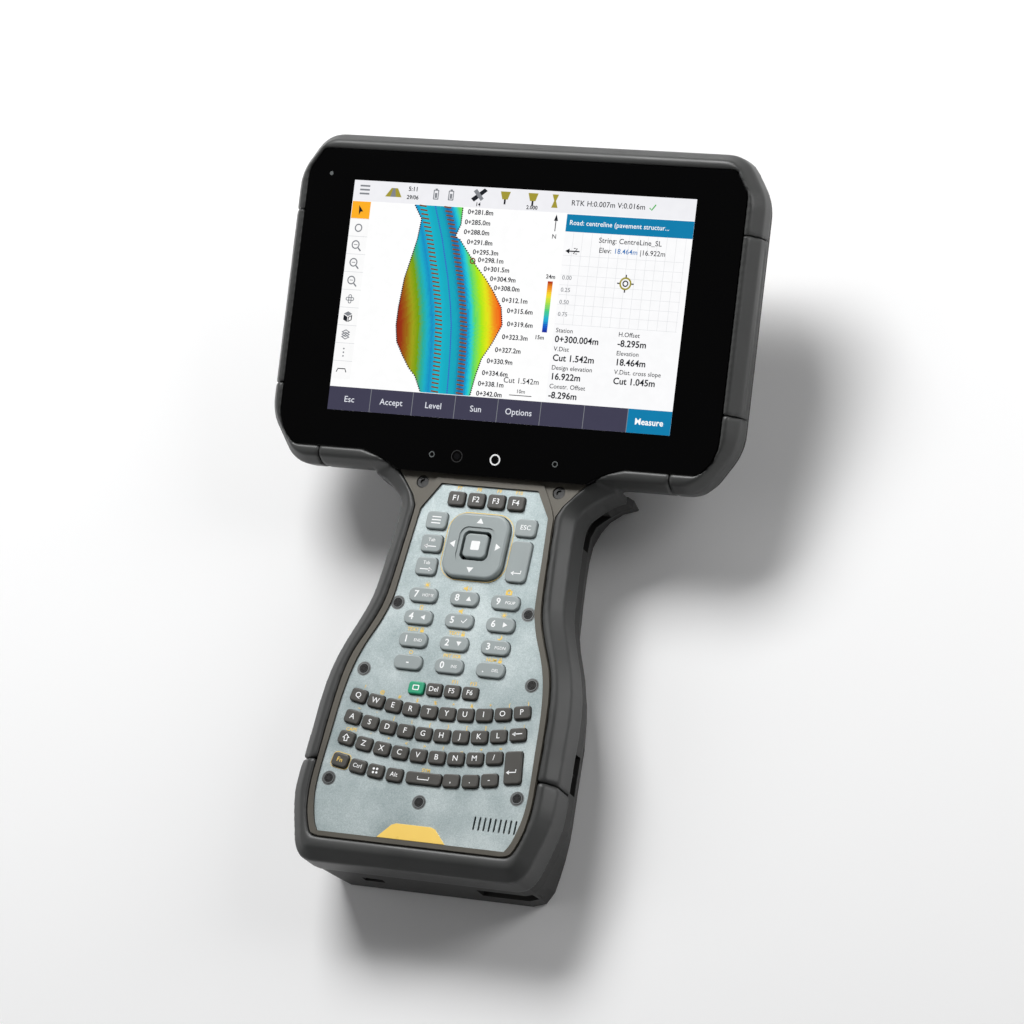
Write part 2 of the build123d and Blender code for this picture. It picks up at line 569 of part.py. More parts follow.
for name, caps in ROWS.items():
    with BuildPart() as key_row:
        for x, s, w, h, r, rise, turn in caps:
            with BuildSketch(KP.offset(-PANEL_T - 0.3)):
                with Locations(Location((x, -s, 0), turn)):
                    RectangleRounded(w, h, r)
            extrude(amount=PANEL_T + 0.3 + rise)
        tops = [f for f in key_row.faces().filter_by(Axis.Z) if f.center().Z > KEYPAD_Z + 1.0]
        fillet([e for f in tops for e in f.edges()], radius=ROUND)
        # the moulded web under the panel that joins the caps of one row
        for x, s, w, h, r, rise, turn in caps:
            with BuildSketch(KP.offset(KEY_DEEP + 0.2)):
                with Locations(Location((x, -s, 0), turn)):
                    RectangleRounded(w, h, r)
            extrude(amount=-PANEL_T - 0.3 - KEY_DEEP - 0.2)
        for a, b in zip(caps, caps[1:]):
            with BuildSketch(KP.offset(KEY_DEEP + 0.2)):
                with Locations(Location(((a[0] + b[0]) / 2, -(a[1] + b[1]) / 2, 0), (a[6] + b[6]) / 2)):
                    Rectangle(b[0] - a[0] - 4.0, 3.2)
            extrude(amount=-PANEL_T - 0.3 - KEY_DEEP - 0.2)
    finish(key_row, name)

with BuildPart() as dpad:
    x, s, w, h, r, rise = PAD
    with BuildSketch(KP.offset(-PANEL_T - 0.3)):
        with Locations((x, -s)):
            RectangleRounded(w, h, r)
    extrude(amount=PANEL_T + 0.3 + rise)
    fillet(dpad.faces().sort_by(Axis.Z)[-1].edges(), radius=1.1)
    with BuildSketch(KP.offset(-PANEL_T - 0.3)):
        with Locations((x, -s)):
            RectangleRounded(12.4, 12.4, 2.6)
    extrude(amount=PANEL_T + 3 + rise, mode=Mode.SUBTRACT)
    # shallow dish around the button
    with BuildSketch(KP.offset(rise - 0.5)):
        with Locations((x, -s)):
            RectangleRounded(15.5, 15.5, 3.6)
    extrude(amount=3, mode=Mode.SUBTRACT)
finish(dpad, "dpad")

with BuildPart() as dpad_pivot:
    with BuildSketch(KP.offset(-2.7)):
        with Locations((PAD[0], -PAD[1])):
            Circle(9.0)
            RectangleRounded(12.4, 12.4, 2.6, mode=Mode.SUBTRACT)
    extrude(amount=0.6)
finish(dpad_pivot, "dpad_pivot")

with BuildPart() as key_select:
    with BuildSketch(KP.offset(-PANEL_T - 0.3)):
        with Locations((PAD[0], -PAD[1])):
            RectangleRounded(BUTTON, BUTTON, 2.0)
    extrude(amount=PANEL_T + 0.3 + 2.3)
    fillet(key_select.faces().sort_by(Axis.Z)[-1].edges(), radius=0.6)
finish(key_select, "key_select")

# ------------------------------------------------------------------ keypad: plate, ring, mat and board
with BuildPart() as keypad_panel:
    with BuildSketch(KP.offset(-PANEL_T)):
        add(grip_outline(PANEL_SIDE, -0.05, smooth_from=2))
        with Locations(*[Location((k[0], -k[1], 0), k[6]) for k in HOLES if k[2] == 7.0]):
            RectangleRounded(7.0 + 2 * KEY_GAP, 5.4 + 2 * KEY_GAP, 1.3 + KEY_GAP, mode=Mode.SUBTRACT)
        for x, s, w, h, r, rise, turn in [k for k in HOLES if k[2] != 7.0]:
            with Locations(Location((x, -s, 0), turn)):
                RectangleRounded(w + 2 * KEY_GAP, h + 2 * KEY_GAP, r + KEY_GAP, mode=Mode.SUBTRACT)
        with Locations((PAD[0], -PAD[1])):
            RectangleRounded(PAD[2] + 0.8, PAD[3] + 0.8, PAD[4] + 0.4, mode=Mode.SUBTRACT)
        with Locations(*[(x, -s) for x, s in SCREWS_PANEL]):
            Circle(2.6, mode=Mode.SUBTRACT)
        with Locations(*[(25.3 + 2.2 * i, -142.2) for i in range(9)]):
            SlotOverall(5.6, 0.8, rotation=90, mode=Mode.SUBTRACT)
    extrude(amount=PANEL_T)
finish(keypad_panel, "keypad_panel")

with BuildPart() as keypad_bezel:
    with BuildSketch(KP.offset(-PANEL_T - 0.05)):
        add(grip_outline(BEZEL_SIDE, -0.15, smooth_from=3, top=0.0))
        add(grip_outline(PANEL_SIDE, 0.08, smooth_from=2), mode=Mode.SUBTRACT)
    extrude(amount=PANEL_T + 0.15)
    with BuildSketch(KP.offset(0.1)):
        add(grip_outline(RING_SIDE, -0.2, smooth_from=2))
        add(grip_outline(PANEL_SIDE, 0.08, smooth_from=2), mode=Mode.SUBTRACT)
    extrude(amount=0.7)
    with BuildSketch(KP.offset(3)):
        with Locations(*[(x, -s) for x, s in SCREWS_NECK]):
            Circle(2.7)
    extrude(amount=-8, mode=Mode.SUBTRACT)
    split(bisect_by=MITRE.offset(-0.05), keep=Keep.BOTTOM)
finish(keypad_bezel, "keypad_bezel")

with BuildPart() as keypad_mat:
    with BuildSketch(KP.offset(MAT_TOP - MAT_T)):
        add(grip_outline(PANEL_SIDE, -2.6, smooth_from=2))
        with Locations(*[(x, -s) for x, s in SCREWS_PANEL]):
            Circle(3.6, mode=Mode.SUBTRACT)
        with Locations((0, -150)):
            Rectangle(120, 33, mode=Mode.SUBTRACT)
    extrude(amount=MAT_T)
finish(keypad_mat, "keypad_mat")

with BuildPart() as keypad_board:
    with BuildSketch(KP.offset(MAT_TOP - MAT_T - BOARD_T)):
        add(grip_outline(PANEL_SIDE, -2.6, smooth_from=2))
        with Locations(*[(x, -s) for x, s in SCREWS_PANEL]):
            Circle(3.6, mode=Mode.SUBTRACT)
        with Locations((0, -150)):
            Rectangle(120, 33, mode=Mode.SUBTRACT)
    extrude(amount=BOARD_T)
finish(keypad_board, "keypad_board")

with BuildPart() as main_board:
    with BuildSketch(HP.offset(-11.6)):
        with Locations((0, 0)):
            RectangleRounded(172, 98, 3.0)
    extrude(amount=1.6)
    with BuildSketch(HP.offset(-11.6)):
        with Locations((-30, 14), (22, -18)):
            Rectangle(26, 26)
    extrude(amount=-1.2)
finish(main_board, "main_board")

with BuildPart() as speaker:
    with BuildSketch(KP.offset(-6.4)):
        with Locations((31.5, -141.2)):
            RectangleRounded(15.0, 8.6, 2.0)
    extrude(amount=4.4)
finish(speaker, "speaker")

with BuildPart() as badge:
    with BuildSketch(KP):
        with BuildLine():
            Polyline((-14.8, -152.3), (15.0, -152.3), (9.6, -146.6), (7.6, -145.9), (-7.4, -145.9), (-9.4, -146.6), close=True)
        make_face()
    extrude(amount=0.35)
    chamfer(badge.faces().sort_by(Axis.Z)[-1].edges(), length=0.12)
finish(badge, "badge")
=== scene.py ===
import math
import random
import bpy
import bmesh
from mathutils import Matrix, Vector


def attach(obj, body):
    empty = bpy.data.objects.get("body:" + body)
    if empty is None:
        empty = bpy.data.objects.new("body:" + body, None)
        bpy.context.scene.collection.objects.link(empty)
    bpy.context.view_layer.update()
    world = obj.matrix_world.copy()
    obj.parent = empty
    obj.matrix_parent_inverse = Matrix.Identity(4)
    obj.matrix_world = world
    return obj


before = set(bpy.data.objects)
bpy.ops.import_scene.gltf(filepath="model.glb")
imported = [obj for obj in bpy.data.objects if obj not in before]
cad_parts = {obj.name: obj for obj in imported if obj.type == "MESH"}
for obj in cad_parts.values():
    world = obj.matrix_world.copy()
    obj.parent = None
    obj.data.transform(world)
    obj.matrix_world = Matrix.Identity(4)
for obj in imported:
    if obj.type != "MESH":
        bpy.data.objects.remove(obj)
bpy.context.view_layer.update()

MM = 0.001
random.seed(7)

# ---------------------------------------------------------------- working planes (mm in, metres out)
TILT = math.radians(13.76)
HINGE = Vector((0.0, 15.035, 40.2))
FY = Vector((0, math.cos(TILT), math.sin(TILT)))
FZ = Vector((0, -math.sin(TILT), math.cos(TILT)))


def K(x, s, n=0.0):
    """Keypad plane point: x right, s down the keypad, n out of it."""
    return Vector((x, HINGE.y - s, HINGE.z + n)) * MM


def S(x, y, z=0.0):
    """Screen plane point: centred on the display, z out of the glass."""
    return (HINGE + FY * (y + 69.0) + FZ * (z + 3.25) + Vector((x, 0, 0))) * MM


K_ROT = Matrix.Identity(3)
S_ROT = Matrix((Vector((1, 0, 0)), FY, FZ)).transposed()


# ---------------------------------------------------------------- materials
def base(name, color, rough, metallic=0.0, coat=0.0, coat_rough=0.1, spec=0.5):
    m = bpy.data.materials.new(name)
    m.use_nodes = True
    b = m.node_tree.nodes["Principled BSDF"]
    b.inputs["Base Color"].default_value = (*color, 1.0)
    b.inputs["Roughness"].default_value = rough
    b.inputs["Metallic"].default_value = metallic
    b.inputs["Coat Weight"].default_value = coat
    b.inputs["Coat Roughness"].default_value = coat_rough
    b.inputs["Specular IOR Level"].default_value = spec
    return m, m.node_tree, b


def noise(nt, scale, detail=3.0, rough=0.5):
    tc = nt.nodes.new("ShaderNodeTexCoord")
    n = nt.nodes.new("ShaderNodeTexNoise")
    n.inputs["Scale"].default_value = scale
    n.inputs["Detail"].default_value = detail
    n.inputs["Roughness"].default_value = rough
    nt.links.new(tc.outputs["Object"], n.inputs["Vector"])
    return n


def ramp(nt, src, stops):
    r = nt.nodes.new("ShaderNodeValToRGB")
    el = r.color_ramp.elements
    el[0].position, el[0].color = stops[0][0], (*stops[0][1], 1)
    el[1].position, el[1].color = stops[-1][0], (*stops[-1][1], 1)
    for p, c in stops[1:-1]:
        e = el.new(p)
        e.color = (*c, 1)
    nt.links.new(src, r.inputs["Fac"])
    return r


def grained(name, color, rough, scale=900.0, bump=0.12, dist=0.00012, vary=0.12, metallic=0.0, coat=0.0,
            coat_rough=0.15, big=30.0, rough_vary=0.06, spec=0.5):
    """A moulded or painted surface: a fine grain in bump, a broad change of tone, and uneven gloss."""
    m, nt, b = base(name, color, rough, metallic, coat, coat_rough, spec)
    broad = noise(nt, big, 4.0, 0.6)
    lo = tuple(c * (1 - vary) for c in color)
    hi = tuple(min(1.0, c * (1 + vary)) for c in color)
    r = ramp(nt, broad.outputs["Fac"], [(0.3, lo), (0.7, hi)])
    nt.links.new(r.outputs["Color"], b.inputs["Base Color"])
    mr = nt.nodes.new("ShaderNodeMapRange")
    mr.inputs["From Min"].default_value, mr.inputs["From Max"].default_value = 0.25, 0.75
    mr.inputs["To Min"].default_value, mr.inputs["To Max"].default_value = max(0.02, rough - rough_vary), min(1, rough + rough_vary)
    nt.links.new(broad.outputs["Fac"], mr.inputs["Value"])
    nt.links.new(mr.outputs["Result"], b.inputs["Roughness"])
    fine = noise(nt, scale, 2.0, 0.5)
    bp = nt.nodes.new("ShaderNodeBump")
    bp.inputs["Strength"].default_value = bump
    bp.inputs["Distance"].default_value = dist
    nt.links.new(fine.outputs["Fac"], bp.inputs["Height"])
    nt.links.new(bp.outputs["Normal"], b.inputs["Normal"])
    return m


M = {}
M["guard"] = grained("guard_rubber", (0.040, 0.041, 0.040), 0.42, scale=1800, bump=0.22, vary=0.10, spec=0.45)
M["housing"] = grained("housing_plastic", (0.020, 0.020, 0.019), 0.52, scale=1500, bump=0.30, vary=0.15)
M["metal"] = grained("frame_metal", (0.010, 0.010, 0.011), 0.45, scale=900, bump=0.15, vary=0.10)
M["glass"] = grained("cover_glass", (0.0015, 0.0015, 0.0016), 0.06, scale=20, bump=0.0, vary=0.05, coat=0.0, coat_rough=0.03, rough_vary=0.02)
M["bezel"] = grained("bezel_taupe", (0.090, 0.082, 0.066), 0.42, scale=2200, bump=0.10, vary=0.08, metallic=0.25)
M["key_dark"] = grained("key_dark", (0.056, 0.053, 0.046), 0.42, scale=2500, bump=0.10, vary=0.08)
M["key_grey"] = grained("key_grey", (0.30, 0.34, 0.34), 0.40, scale=2500, bump=0.08, vary=0.05)
M["key_green"] = grained("key_green", (0.012, 0.33, 0.17), 0.38, scale=2500, bump=0.08, vary=0.06)
M["dpad"] = grained("dpad_grey", (0.135, 0.138, 0.132), 0.40, scale=2500, bump=0.10, vary=0.06)
M["rubber"] = grained("foot_rubber", (0.02, 0.02, 0.02), 0.7, scale=1200, bump=0.3)
M["screw"] = grained("screw_dark", (0.05, 0.05, 0.05), 0.32, scale=1500, bump=0.12, metallic=0.8)
M["badge"] = grained("badge_yellow", (0.98, 0.66, 0.15), 0.30, scale=1500, bump=0.05, vary=0.05, coat=0.4)
M["pack"] = grained("pack_plastic", (0.028, 0.028, 0.028), 0.50, scale=1500, bump=0.25)
M["latch"] = grained("latch_yellow", (0.80, 0.47, 0.05), 0.42, scale=1500, bump=0.12)
M["camera"] = grained("camera_black", (0.005, 0.005, 0.006), 0.12, scale=300, bump=0.0, coat=1.0)
M["gold"] = grained("contact_gold", (0.80, 0.52, 0.18), 0.28, scale=1500, bump=0.08, metallic=1.0)
M["steel"] = grained("bar_steel", (0.10, 0.10, 0.10), 0.35, scale=1500, bump=0.1, metallic=0.9)
# near-black for dark parts; on the screw heads the same colour is painted shade for the drive sockets
M["dark"] = grained("dark_parts_and_socket_shade", (0.004, 0.004, 0.004), 0.7, scale=1000, bump=0.05)
M["ink_white"] = grained("ink_white", (0.90, 0.91, 0.91), 0.5, scale=1500, bump=0.03, vary=0.03)
M["ink_grey"] = grained("ink_grey", (0.10, 0.11, 0.11), 0.5, scale=1500, bump=0.03, vary=0.03)
M["ink_yellow"] = grained("ink_yellow", (0.86, 0.58, 0.10), 0.5, scale=1500, bump=0.03, vary=0.05)
M["ring_metal"] = grained("screw_ring", (0.20, 0.21, 0.21), 0.32, scale=1500, bump=0.08, metallic=0.5)


def panel_paint():
    """Blue-grey metallic paint: a bright fleck on a satin coat, and a broad cloudy change of tone."""
    m, nt, b = base("panel_grey", (0.46, 0.53, 0.54), 0.40, 0.40, 0.2, 0.25)
    fleck = noise(nt, 2600, 2.0, 0.6)
    broad = noise(nt, 40, 3.0, 0.6)
    mix = nt.nodes.new("ShaderNodeMath")
    mix.operation = "MULTIPLY_ADD"
    mix.inputs[1].default_value = 0.42
    nt.links.new(fleck.outputs["Fac"], mix.inputs[0])
    half = nt.nodes.new("ShaderNodeMath")
    half.operation = "MULTIPLY"
    half.inputs[1].default_value = 0.58
    nt.links.new(broad.outputs["Fac"], half.inputs[0])
    nt.links.new(half.outputs[0], mix.inputs[2])
    r = ramp(nt, mix.outputs[0], [(0.36, (0.27, 0.33, 0.335)), (0.5, (0.38, 0.445, 0.45)), (0.64, (0.53, 0.595, 0.595))])
    nt.links.new(r.outputs["Color"], b.inputs["Base Color"])
    bp = nt.nodes.new("ShaderNodeBump")
    bp.inputs["Strength"].default_value = 0.10
    bp.inputs["Distance"].default_value = 0.0001
    nt.links.new(fleck.outputs["Fac"], bp.inputs["Height"])
    nt.links.new(bp.outputs["Normal"], b.inputs["Normal"])
    return m


M["panel"] = panel_paint()


def lit(name, color, strength=0.55):
    """A lit area of the display under the glass: it glows, and keeps the glass's gloss."""
    m, nt, b = base(name, tuple(c * 0.06 for c in color), 0.12, 0.0, 0.0, 0.04)
    n = noise(nt, 260, 2.0, 0.5)
    r = ramp(nt, n.outputs["Fac"], [(0.3, tuple(c * 0.97 for c in color)), (0.7, color)])
    nt.links.new(r.outputs["Color"], b.inputs["Emission Color"])
    b.inputs["Emission Strength"].default_value = strength
    return m


LIT = {
    "white": (0.96, 0.96, 0.96), "pane": (0.93, 0.93, 0.94), "bar": (0.62, 0.64, 0.72), "navy": (0.052, 0.050, 0.085),
    "blue": (0.006, 0.20, 0.40), "orange": (0.95, 0.42, 0.02), "text": (0.015, 0.017, 0.022), "grey": (0.22, 0.23, 0.25),
    "grid": (0.66, 0.67, 0.69), "softwhite": (0.72, 0.74, 0.80), "green": (0.05, 0.42, 0.06), "road": (0.04, 0.10, 0.55),
    "brown": (0.20, 0.07, 0.02), "toolbar": (0.84, 0.84, 0.87), "cell": (0.93, 0.93, 0.93), "olive": (0.35, 0.30, 0.04),
    "link": (0.02, 0.16, 0.45),
}
for k_, c_ in LIT.items():
    M["lit_" + k_] = lit("lit_" + k_, c_, 1.0)


# ---------------------------------------------------------------- CAD nodes: finishes and smooth shading
FINISH = {
    "rear_housing": "housing", "module_cover": "housing", "dock_connector": "dark", "front_frame": "metal",
    "cover_glass": "glass", "display_panel": "camera", "keypad_bezel": "bezel", "keypad_panel": "panel",
    "keypad_mat": "rubber", "keypad_board": "dark", "main_board": "dark", "case_screws": "screw", "strap_bars": "steel",
    "badge": "badge", "battery_left": "pack", "battery_right": "pack", "battery_latch_left": "latch",
    "battery_latch_right": "latch", "rear_camera": "camera", "speaker": "dark", "rubber_feet": "rubber",
    "dpad": "key_grey", "dpad_pivot": "dark", "key_select": "key_grey", "key_app": "key_green",
}
for n_, o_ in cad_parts.items():
    if n_.startswith("bumper_"):
        f_ = "guard"
    elif n_ in FINISH:
        f_ = FINISH[n_]
    elif n_.startswith("key_number") or n_ in ("key_menu", "key_tab_back", "key_tab_forward", "key_escape", "key_enter_upper"):
        f_ = "key_grey"
    else:
        f_ = "key_dark"
    if not o_.material_slots:
        o_.data.materials.append(M[f_])
    for sl in o_.material_slots:
        sl.material = M[f_]
    o_.data.polygons.foreach_set("use_smooth", [True] * len(o_.data.polygons))
    o_.data.set_sharp_from_angle(angle=math.radians(45 if n_.startswith("bumper") or n_ == "rear_housing" else 35))

for n_, o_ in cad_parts.items():
    if n_.startswith("bumper_"):
        rm = o_.modifiers.new("soft_form", "REMESH")
        rm.mode, rm.voxel_size, rm.use_smooth_shade = "VOXEL", 0.0008, True
        sm = o_.modifiers.new("soft_edges", "SMOOTH")
        sm.factor, sm.iterations = 0.5, 7


# ---------------------------------------------------------------- building helpers
class Pile:
    """Collects flat outlines, strips and lettering with their materials, then makes one piece that rides one body."""

    def __init__(self, name, body, slot=None):
        self.name, self.body, self.slot = name, body, slot
        self.verts, self.faces, self.mats, self.order = [], [], [], []
        self.texts = []

    def mat(self, key):
        if key not in self.order:
            self.order.append(key)
        return self.order.index(key)

    def slab(self, pts, place, z, key, thick=0.03):
        """A thin solid plate from an outline in plane coordinates (mm)."""
        area = sum(a[0] * b[1] - b[0] * a[1] for a, b in zip(pts, pts[1:] + pts[:1]))
        if place is K:
            area = -area
        if area < 0:
            pts = pts[::-1]
        i = len(self.verts)
        n = len(pts)
        self.verts += [place(x, y, z) for x, y in pts] + [place(x, y, z - thick) for x, y in pts]
        self.faces.append(tuple(range(i, i + n)))
        self.faces.append(tuple(range(i + 2 * n - 1, i + n - 1, -1)))
        for k in range(n):
            self.faces.append((i + k, i + n + k, i + n + (k + 1) % n, i + (k + 1) % n))
        self.mats += [self.mat(key)] * (n + 2)

    def ring(self, outer, inner, place, z, key, thick=0.03):
        """A closed band between two outlines with the same number of points."""
        i, n = len(self.verts), len(outer)
        for lv in (z, z - thick):
            self.verts += [place(x, y, lv) for x, y in outer] + [place(x, y, lv) for x, y in inner]
        up = sum(a[0] * b[1] - b[0] * a[1] for a, b in zip(outer, outer[1:] + outer[:1])) * (-1 if place is K else 1) > 0
        for k in range(n):
            j = (k + 1) % n
            quads = [(i + k, i + j, i + n + j, i + n + k), (i + 2 * n + k, i + 3 * n + k, i + 3 * n + j, i + 2 * n + j),
                     (i + k, i + 2 * n + k, i + 2 * n + j, i + j), (i + n + k, i + n + j, i + 3 * n + j, i + 3 * n + k)]
            for q in quads:
                self.faces.append(q if up else q[::-1])
        self.mats += [self.mat(key)] * (4 * n)

    def box(self, x0, y0, x1, y1, place, z, key, r=0.0, thick=0.03):
        self.slab(rounded(x0, y0, x1, y1, r), place, z, key, thick)

    def text(self, body, x, y, size, place, z, key, turn=0.0, align="CENTER", bold=False, wide=1.0):
        self.texts.append((body, x, y, size, place, z, key, turn, align, bold, wide))

    def line(self, pts, width, place, z, key, closed=False, thick=0.03):
        """A stroke of constant width along points."""
        n = len(pts)
        left, right = [], []
        for k in range(n):
            a = pts[k - 1] if (k or closed) else pts[k]
            b = pts[(k + 1) % n] if (k < n - 1 or closed) else pts[k]
            dx, dy = b[0] - a[0], b[1] - a[1]
            d = math.hypot(dx, dy) or 1.0
            left.append((pts[k][0] - dy / d * width / 2, pts[k][1] + dx / d * width / 2))
            right.append((pts[k][0] + dy / d * width / 2, pts[k][1] - dx / d * width / 2))
        if closed:
            o, i = (left, right)
            if abs(poly_area(left)) < abs(poly_area(right)):
                o, i = right, left
            self.ring(o, i, place, z, key, thick)
        else:
            self.slab(left + right[::-1], place, z, key, thick)


def poly_area(p):
    return 0.5 * sum(a[0] * b[1] - b[0] * a[1] for a, b in zip(p, p[1:] + p[:1]))


def rounded(x0, y0, x1, y1, r, steps=5):
    if x0 > x1:
        x0, x1 = x1, x0
    if y0 > y1:
        y0, y1 = y1, y0
    if r <= 0:
        return [(x0, y0), (x1, y0), (x1, y1), (x0, y1)]
    out = []
    for cx, cy, a0 in ((x1 - r, y0 + r, -90), (x1 - r, y1 - r, 0), (x0 + r, y1 - r, 90), (x0 + r, y0 + r, 180)):
        for k in range(steps + 1):
            a = math.radians(a0 + 90 * k / steps)
            out.append((cx + r * math.cos(a), cy + r * math.sin(a)))
    return out


def circle(x, y, r, n=24, a0=0.0):
    return [(x + r * math.cos(a0 + 2 * math.pi * k / n), y + r * math.sin(a0 + 2 * math.pi * k / n)) for k in range(n)]


PILES = []


def pile(name, body, slot=None):
    p = Pile(name, body, slot)
    PILES.append(p)
    return p


def make_piles():
    """Turn every pile's lettering into mesh in one pass, join it to its plates, and ride its body."""
    pending = []
    for p in PILES:
        for body, x, y, size, place, z, key, turn, align, bold, wide in p.texts:
            cu = bpy.data.curves.new("lettering", "FONT")
            cu.body, cu.size, cu.align_x, cu.align_y = body, size, align, "CENTER"
            cu.extrude = 0.012
            cu.offset = 0.022 * size if bold else 0.006 * size
            cu.resolution_u = 3
            cu.space_character = 1.02
            ob = bpy.data.objects.new("lettering", cu)
            bpy.context.scene.collection.objects.link(ob)
            pending.append((p, ob, x, y, place, z, key, turn, wide))
    dg = bpy.context.evaluated_depsgraph_get()
    for p, ob, x, y, place, z, key, turn, wide in pending:
        me = bpy.data.meshes.new_from_object(ob.evaluated_get(dg))
        i = len(p.verts)
        c, s = math.cos(math.radians(turn)), math.sin(math.radians(turn))
        for v in me.vertices:
            u, w = v.co.x * wide, v.co.y
            u, w = u * c - w * s, u * s + w * c
            p.verts.append(place(x + u, y - w if place is K else y + w, z + v.co.z))
        for f in me.polygons:
            p.faces.append(tuple(i + k for k in f.vertices))
        p.mats += [p.mat(key)] * len(me.polygons)
        bpy.data.meshes.remove(me)
    for item in pending:
        cu = item[1].data
        bpy.data.objects.remove(item[1])
        bpy.data.curves.remove(cu)
    for p in PILES:
        me = bpy.data.meshes.new(p.name)
        me.from_pydata([tuple(v) for v in p.verts], [], p.faces)
        me.update()
        for k in p.order:
            me.materials.append(M[k])
        me.polygons.foreach_set("material_index", p.mats)
        ob = bpy.data.objects.new(p.name, me)
        bpy.context.scene.collection.objects.link(ob)
        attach(ob, p.body)


# ---------------------------------------------------------------- the display picture
ui = pile("display_picture", "housing", "display")
Z1, Z2, Z3, Z4 = 0.05, 0.08, 0.11, 0.14
HW, HH = 75.4, 47.1
ui.box(-HW, -HH, HW, HH, S, Z1, "lit_white")
ui.box(-HW, 38.6, HW, HH, S, Z2, "lit_toolbar")
ui.box(-HW, -HH, HW, -37.6, S, Z2, "lit_navy")
for k in range(1, 8):
    ui.box(-HW + 18.85 * k - 0.12, -HH, -HW + 18.85 * k + 0.12, -37.6, S, Z3, "lit_grey")
ui.box(HW - 18.7, -HH, HW, -37.6, S, Z3, "lit_blue")
for k, w in enumerate(["Esc", "Accept", "Level", "Sun", "Options"]):
    ui.text(w, -HW + 9.4 + 18.85 * k, -42.6, 3.5, S, Z4, "lit_softwhite")
ui.text("Measure", HW - 9.4, -42.6, 3.5, S, Z4, "lit_white", bold=True)

# toolbar icons
for k in range(3):
    ui.box(-72.6, 41.3 + 1.6 * k, -68.2, 42.0 + 1.6 * k, S, Z3, "lit_grey")
ui.slab([(-61.0, 41.0), (-58.4, 44.6), (-55.6, 44.6), (-53.6, 41.0)], S, Z3, "lit_olive")
ui.slab([(-58.6, 41.0), (-57.6, 44.6), (-56.8, 44.6), (-56.2, 41.0)], S, Z4, "lit_grey")
ui.text("5:11", -48.6, 44.6, 2.5, S, Z3, "lit_text", bold=True)
ui.text("29/06", -48.6, 41.2, 2.3, S, Z3, "lit_text", bold=True)
for bx in (-38.3, -31.6):
    ui.ring(rounded(bx - 1.2, 40.9, bx + 1.2, 44.9, 0.3), rounded(bx - 0.8, 41.3, bx + 0.8, 44.5, 0.25), S, Z3, "lit_grey")
    ui.box(bx - 0.5, 44.9, bx + 0.5, 45.4, S, Z3, "lit_grey")
    ui.box(bx - 0.5, 41.6, bx + 0.5, 43.6, S, Z3, "lit_grey")
ui.slab([(-22.6, 42.2), (-21.2, 41.0), (-15.6, 45.6), (-17.0, 46.6)], S, Z3, "lit_text")
ui.slab([(-21.8, 45.2), (-20.4, 46.2), (-17.0, 42.4), (-18.2, 41.4)], S, Z4, "lit_grey")
ui.text("14", -19.2, 39.9, 2.2, S, Z3, "lit_text", bold=True)
for ax, lab in ((-7.6, ""), (4.6, "2.000")):
    ui.slab([(ax - 2.2, 45.8), (ax + 2.2, 45.8), (ax + 1.2, 42.6), (ax - 1.2, 42.6)], S, Z3, "lit_olive")
    ui.box(ax - 0.4, 40.6, ax + 0.4, 42.6, S, Z3, "lit_text")
    if lab:
        ui.text(lab, ax, 39.9, 2.2, S, Z3, "lit_text", bold=True)
ui.slab([(13.0, 45.8), (15.8, 45.8), (14.8, 43.2), (15.8, 40.4), (13.0, 40.4), (14.0, 43.2)], S, Z3, "lit_olive")

# tool strip
ui.box(-HW, -34.5, -66.8, 38.6, S, Z2, "lit_cell")
ui.box(-HW + 0.2, 31.2, -67.0, 38.4, S, Z3, "lit_orange")
for k in range(1, 10):
    ui.box(-HW, 38.6 - 7.3 * k - 0.1, -66.8, 38.6 - 7.3 * k + 0.1, S, Z3, "lit_grid")
cx = -71.2
cy = [34.8, 27.5, 20.2, 12.9, 5.6, -1.7, -9.0, -16.3, -23.6, -30.9]
ui.slab([(cx - 0.9, cy[0] + 2.0), (cx + 1.2, cy[0] - 0.5), (cx + 0.1, cy[0] - 0.6), (cx - 0.6, cy[0] - 2.0)], S, Z4, "lit_text")
ui.ring(circle(cx, cy[1], 1.7), circle(cx, cy[1], 1.2), S, Z4, "lit_grey")
for q in (2, 3, 4):
    ui.ring(circle(cx - 0.4, cy[q] + 0.4, 1.8), circle(cx - 0.4, cy[q] + 0.4, 1.3), S, Z4, "lit_grey")
    ui.line([(cx + 0.9, cy[q] - 0.9), (cx + 2.1, cy[q] - 2.1)], 0.6, S, Z4, "lit_grey")
    ui.box(cx - 1.2, cy[q] + 0.25, cx + 0.4, cy[q] + 0.55, S, Z4, "lit_grey")
for q in range(4):
    a = math.pi / 2 * q
    ui.ring(circle(cx + 1.1 * math.cos(a), cy[5] + 1.1 * math.sin(a), 0.8, 14), circle(cx + 1.1 * math.cos(a), cy[5] + 1.1 * math.sin(a), 0.45, 14), S, Z4, "lit_grey")
ui.slab([(cx - 1.9, cy[6] + 1.2), (cx, cy[6] + 2.2), (cx + 1.9, cy[6] + 1.2), (cx, cy[6] + 0.2)], S, Z4, "lit_grey")
ui.slab([(cx - 1.9, cy[6] + 0.8), (cx - 0.15, cy[6] - 0.1), (cx - 0.15, cy[6] - 2.2), (cx - 1.9, cy[6] - 1.3)], S, Z4, "lit_text")
ui.ring([(cx + 0.15, cy[6] - 0.1), (cx + 1.9, cy[6] + 0.8), (cx + 1.9, cy[6] - 1.3), (cx + 0.15, cy[6] - 2.2)],
        [(cx + 0.5, cy[6] - 0.3), (cx + 1.5, cy[6] + 0.25), (cx + 1.5, cy[6] - 1.1), (cx + 0.5, cy[6] - 1.65)], S, Z4, "lit_text")
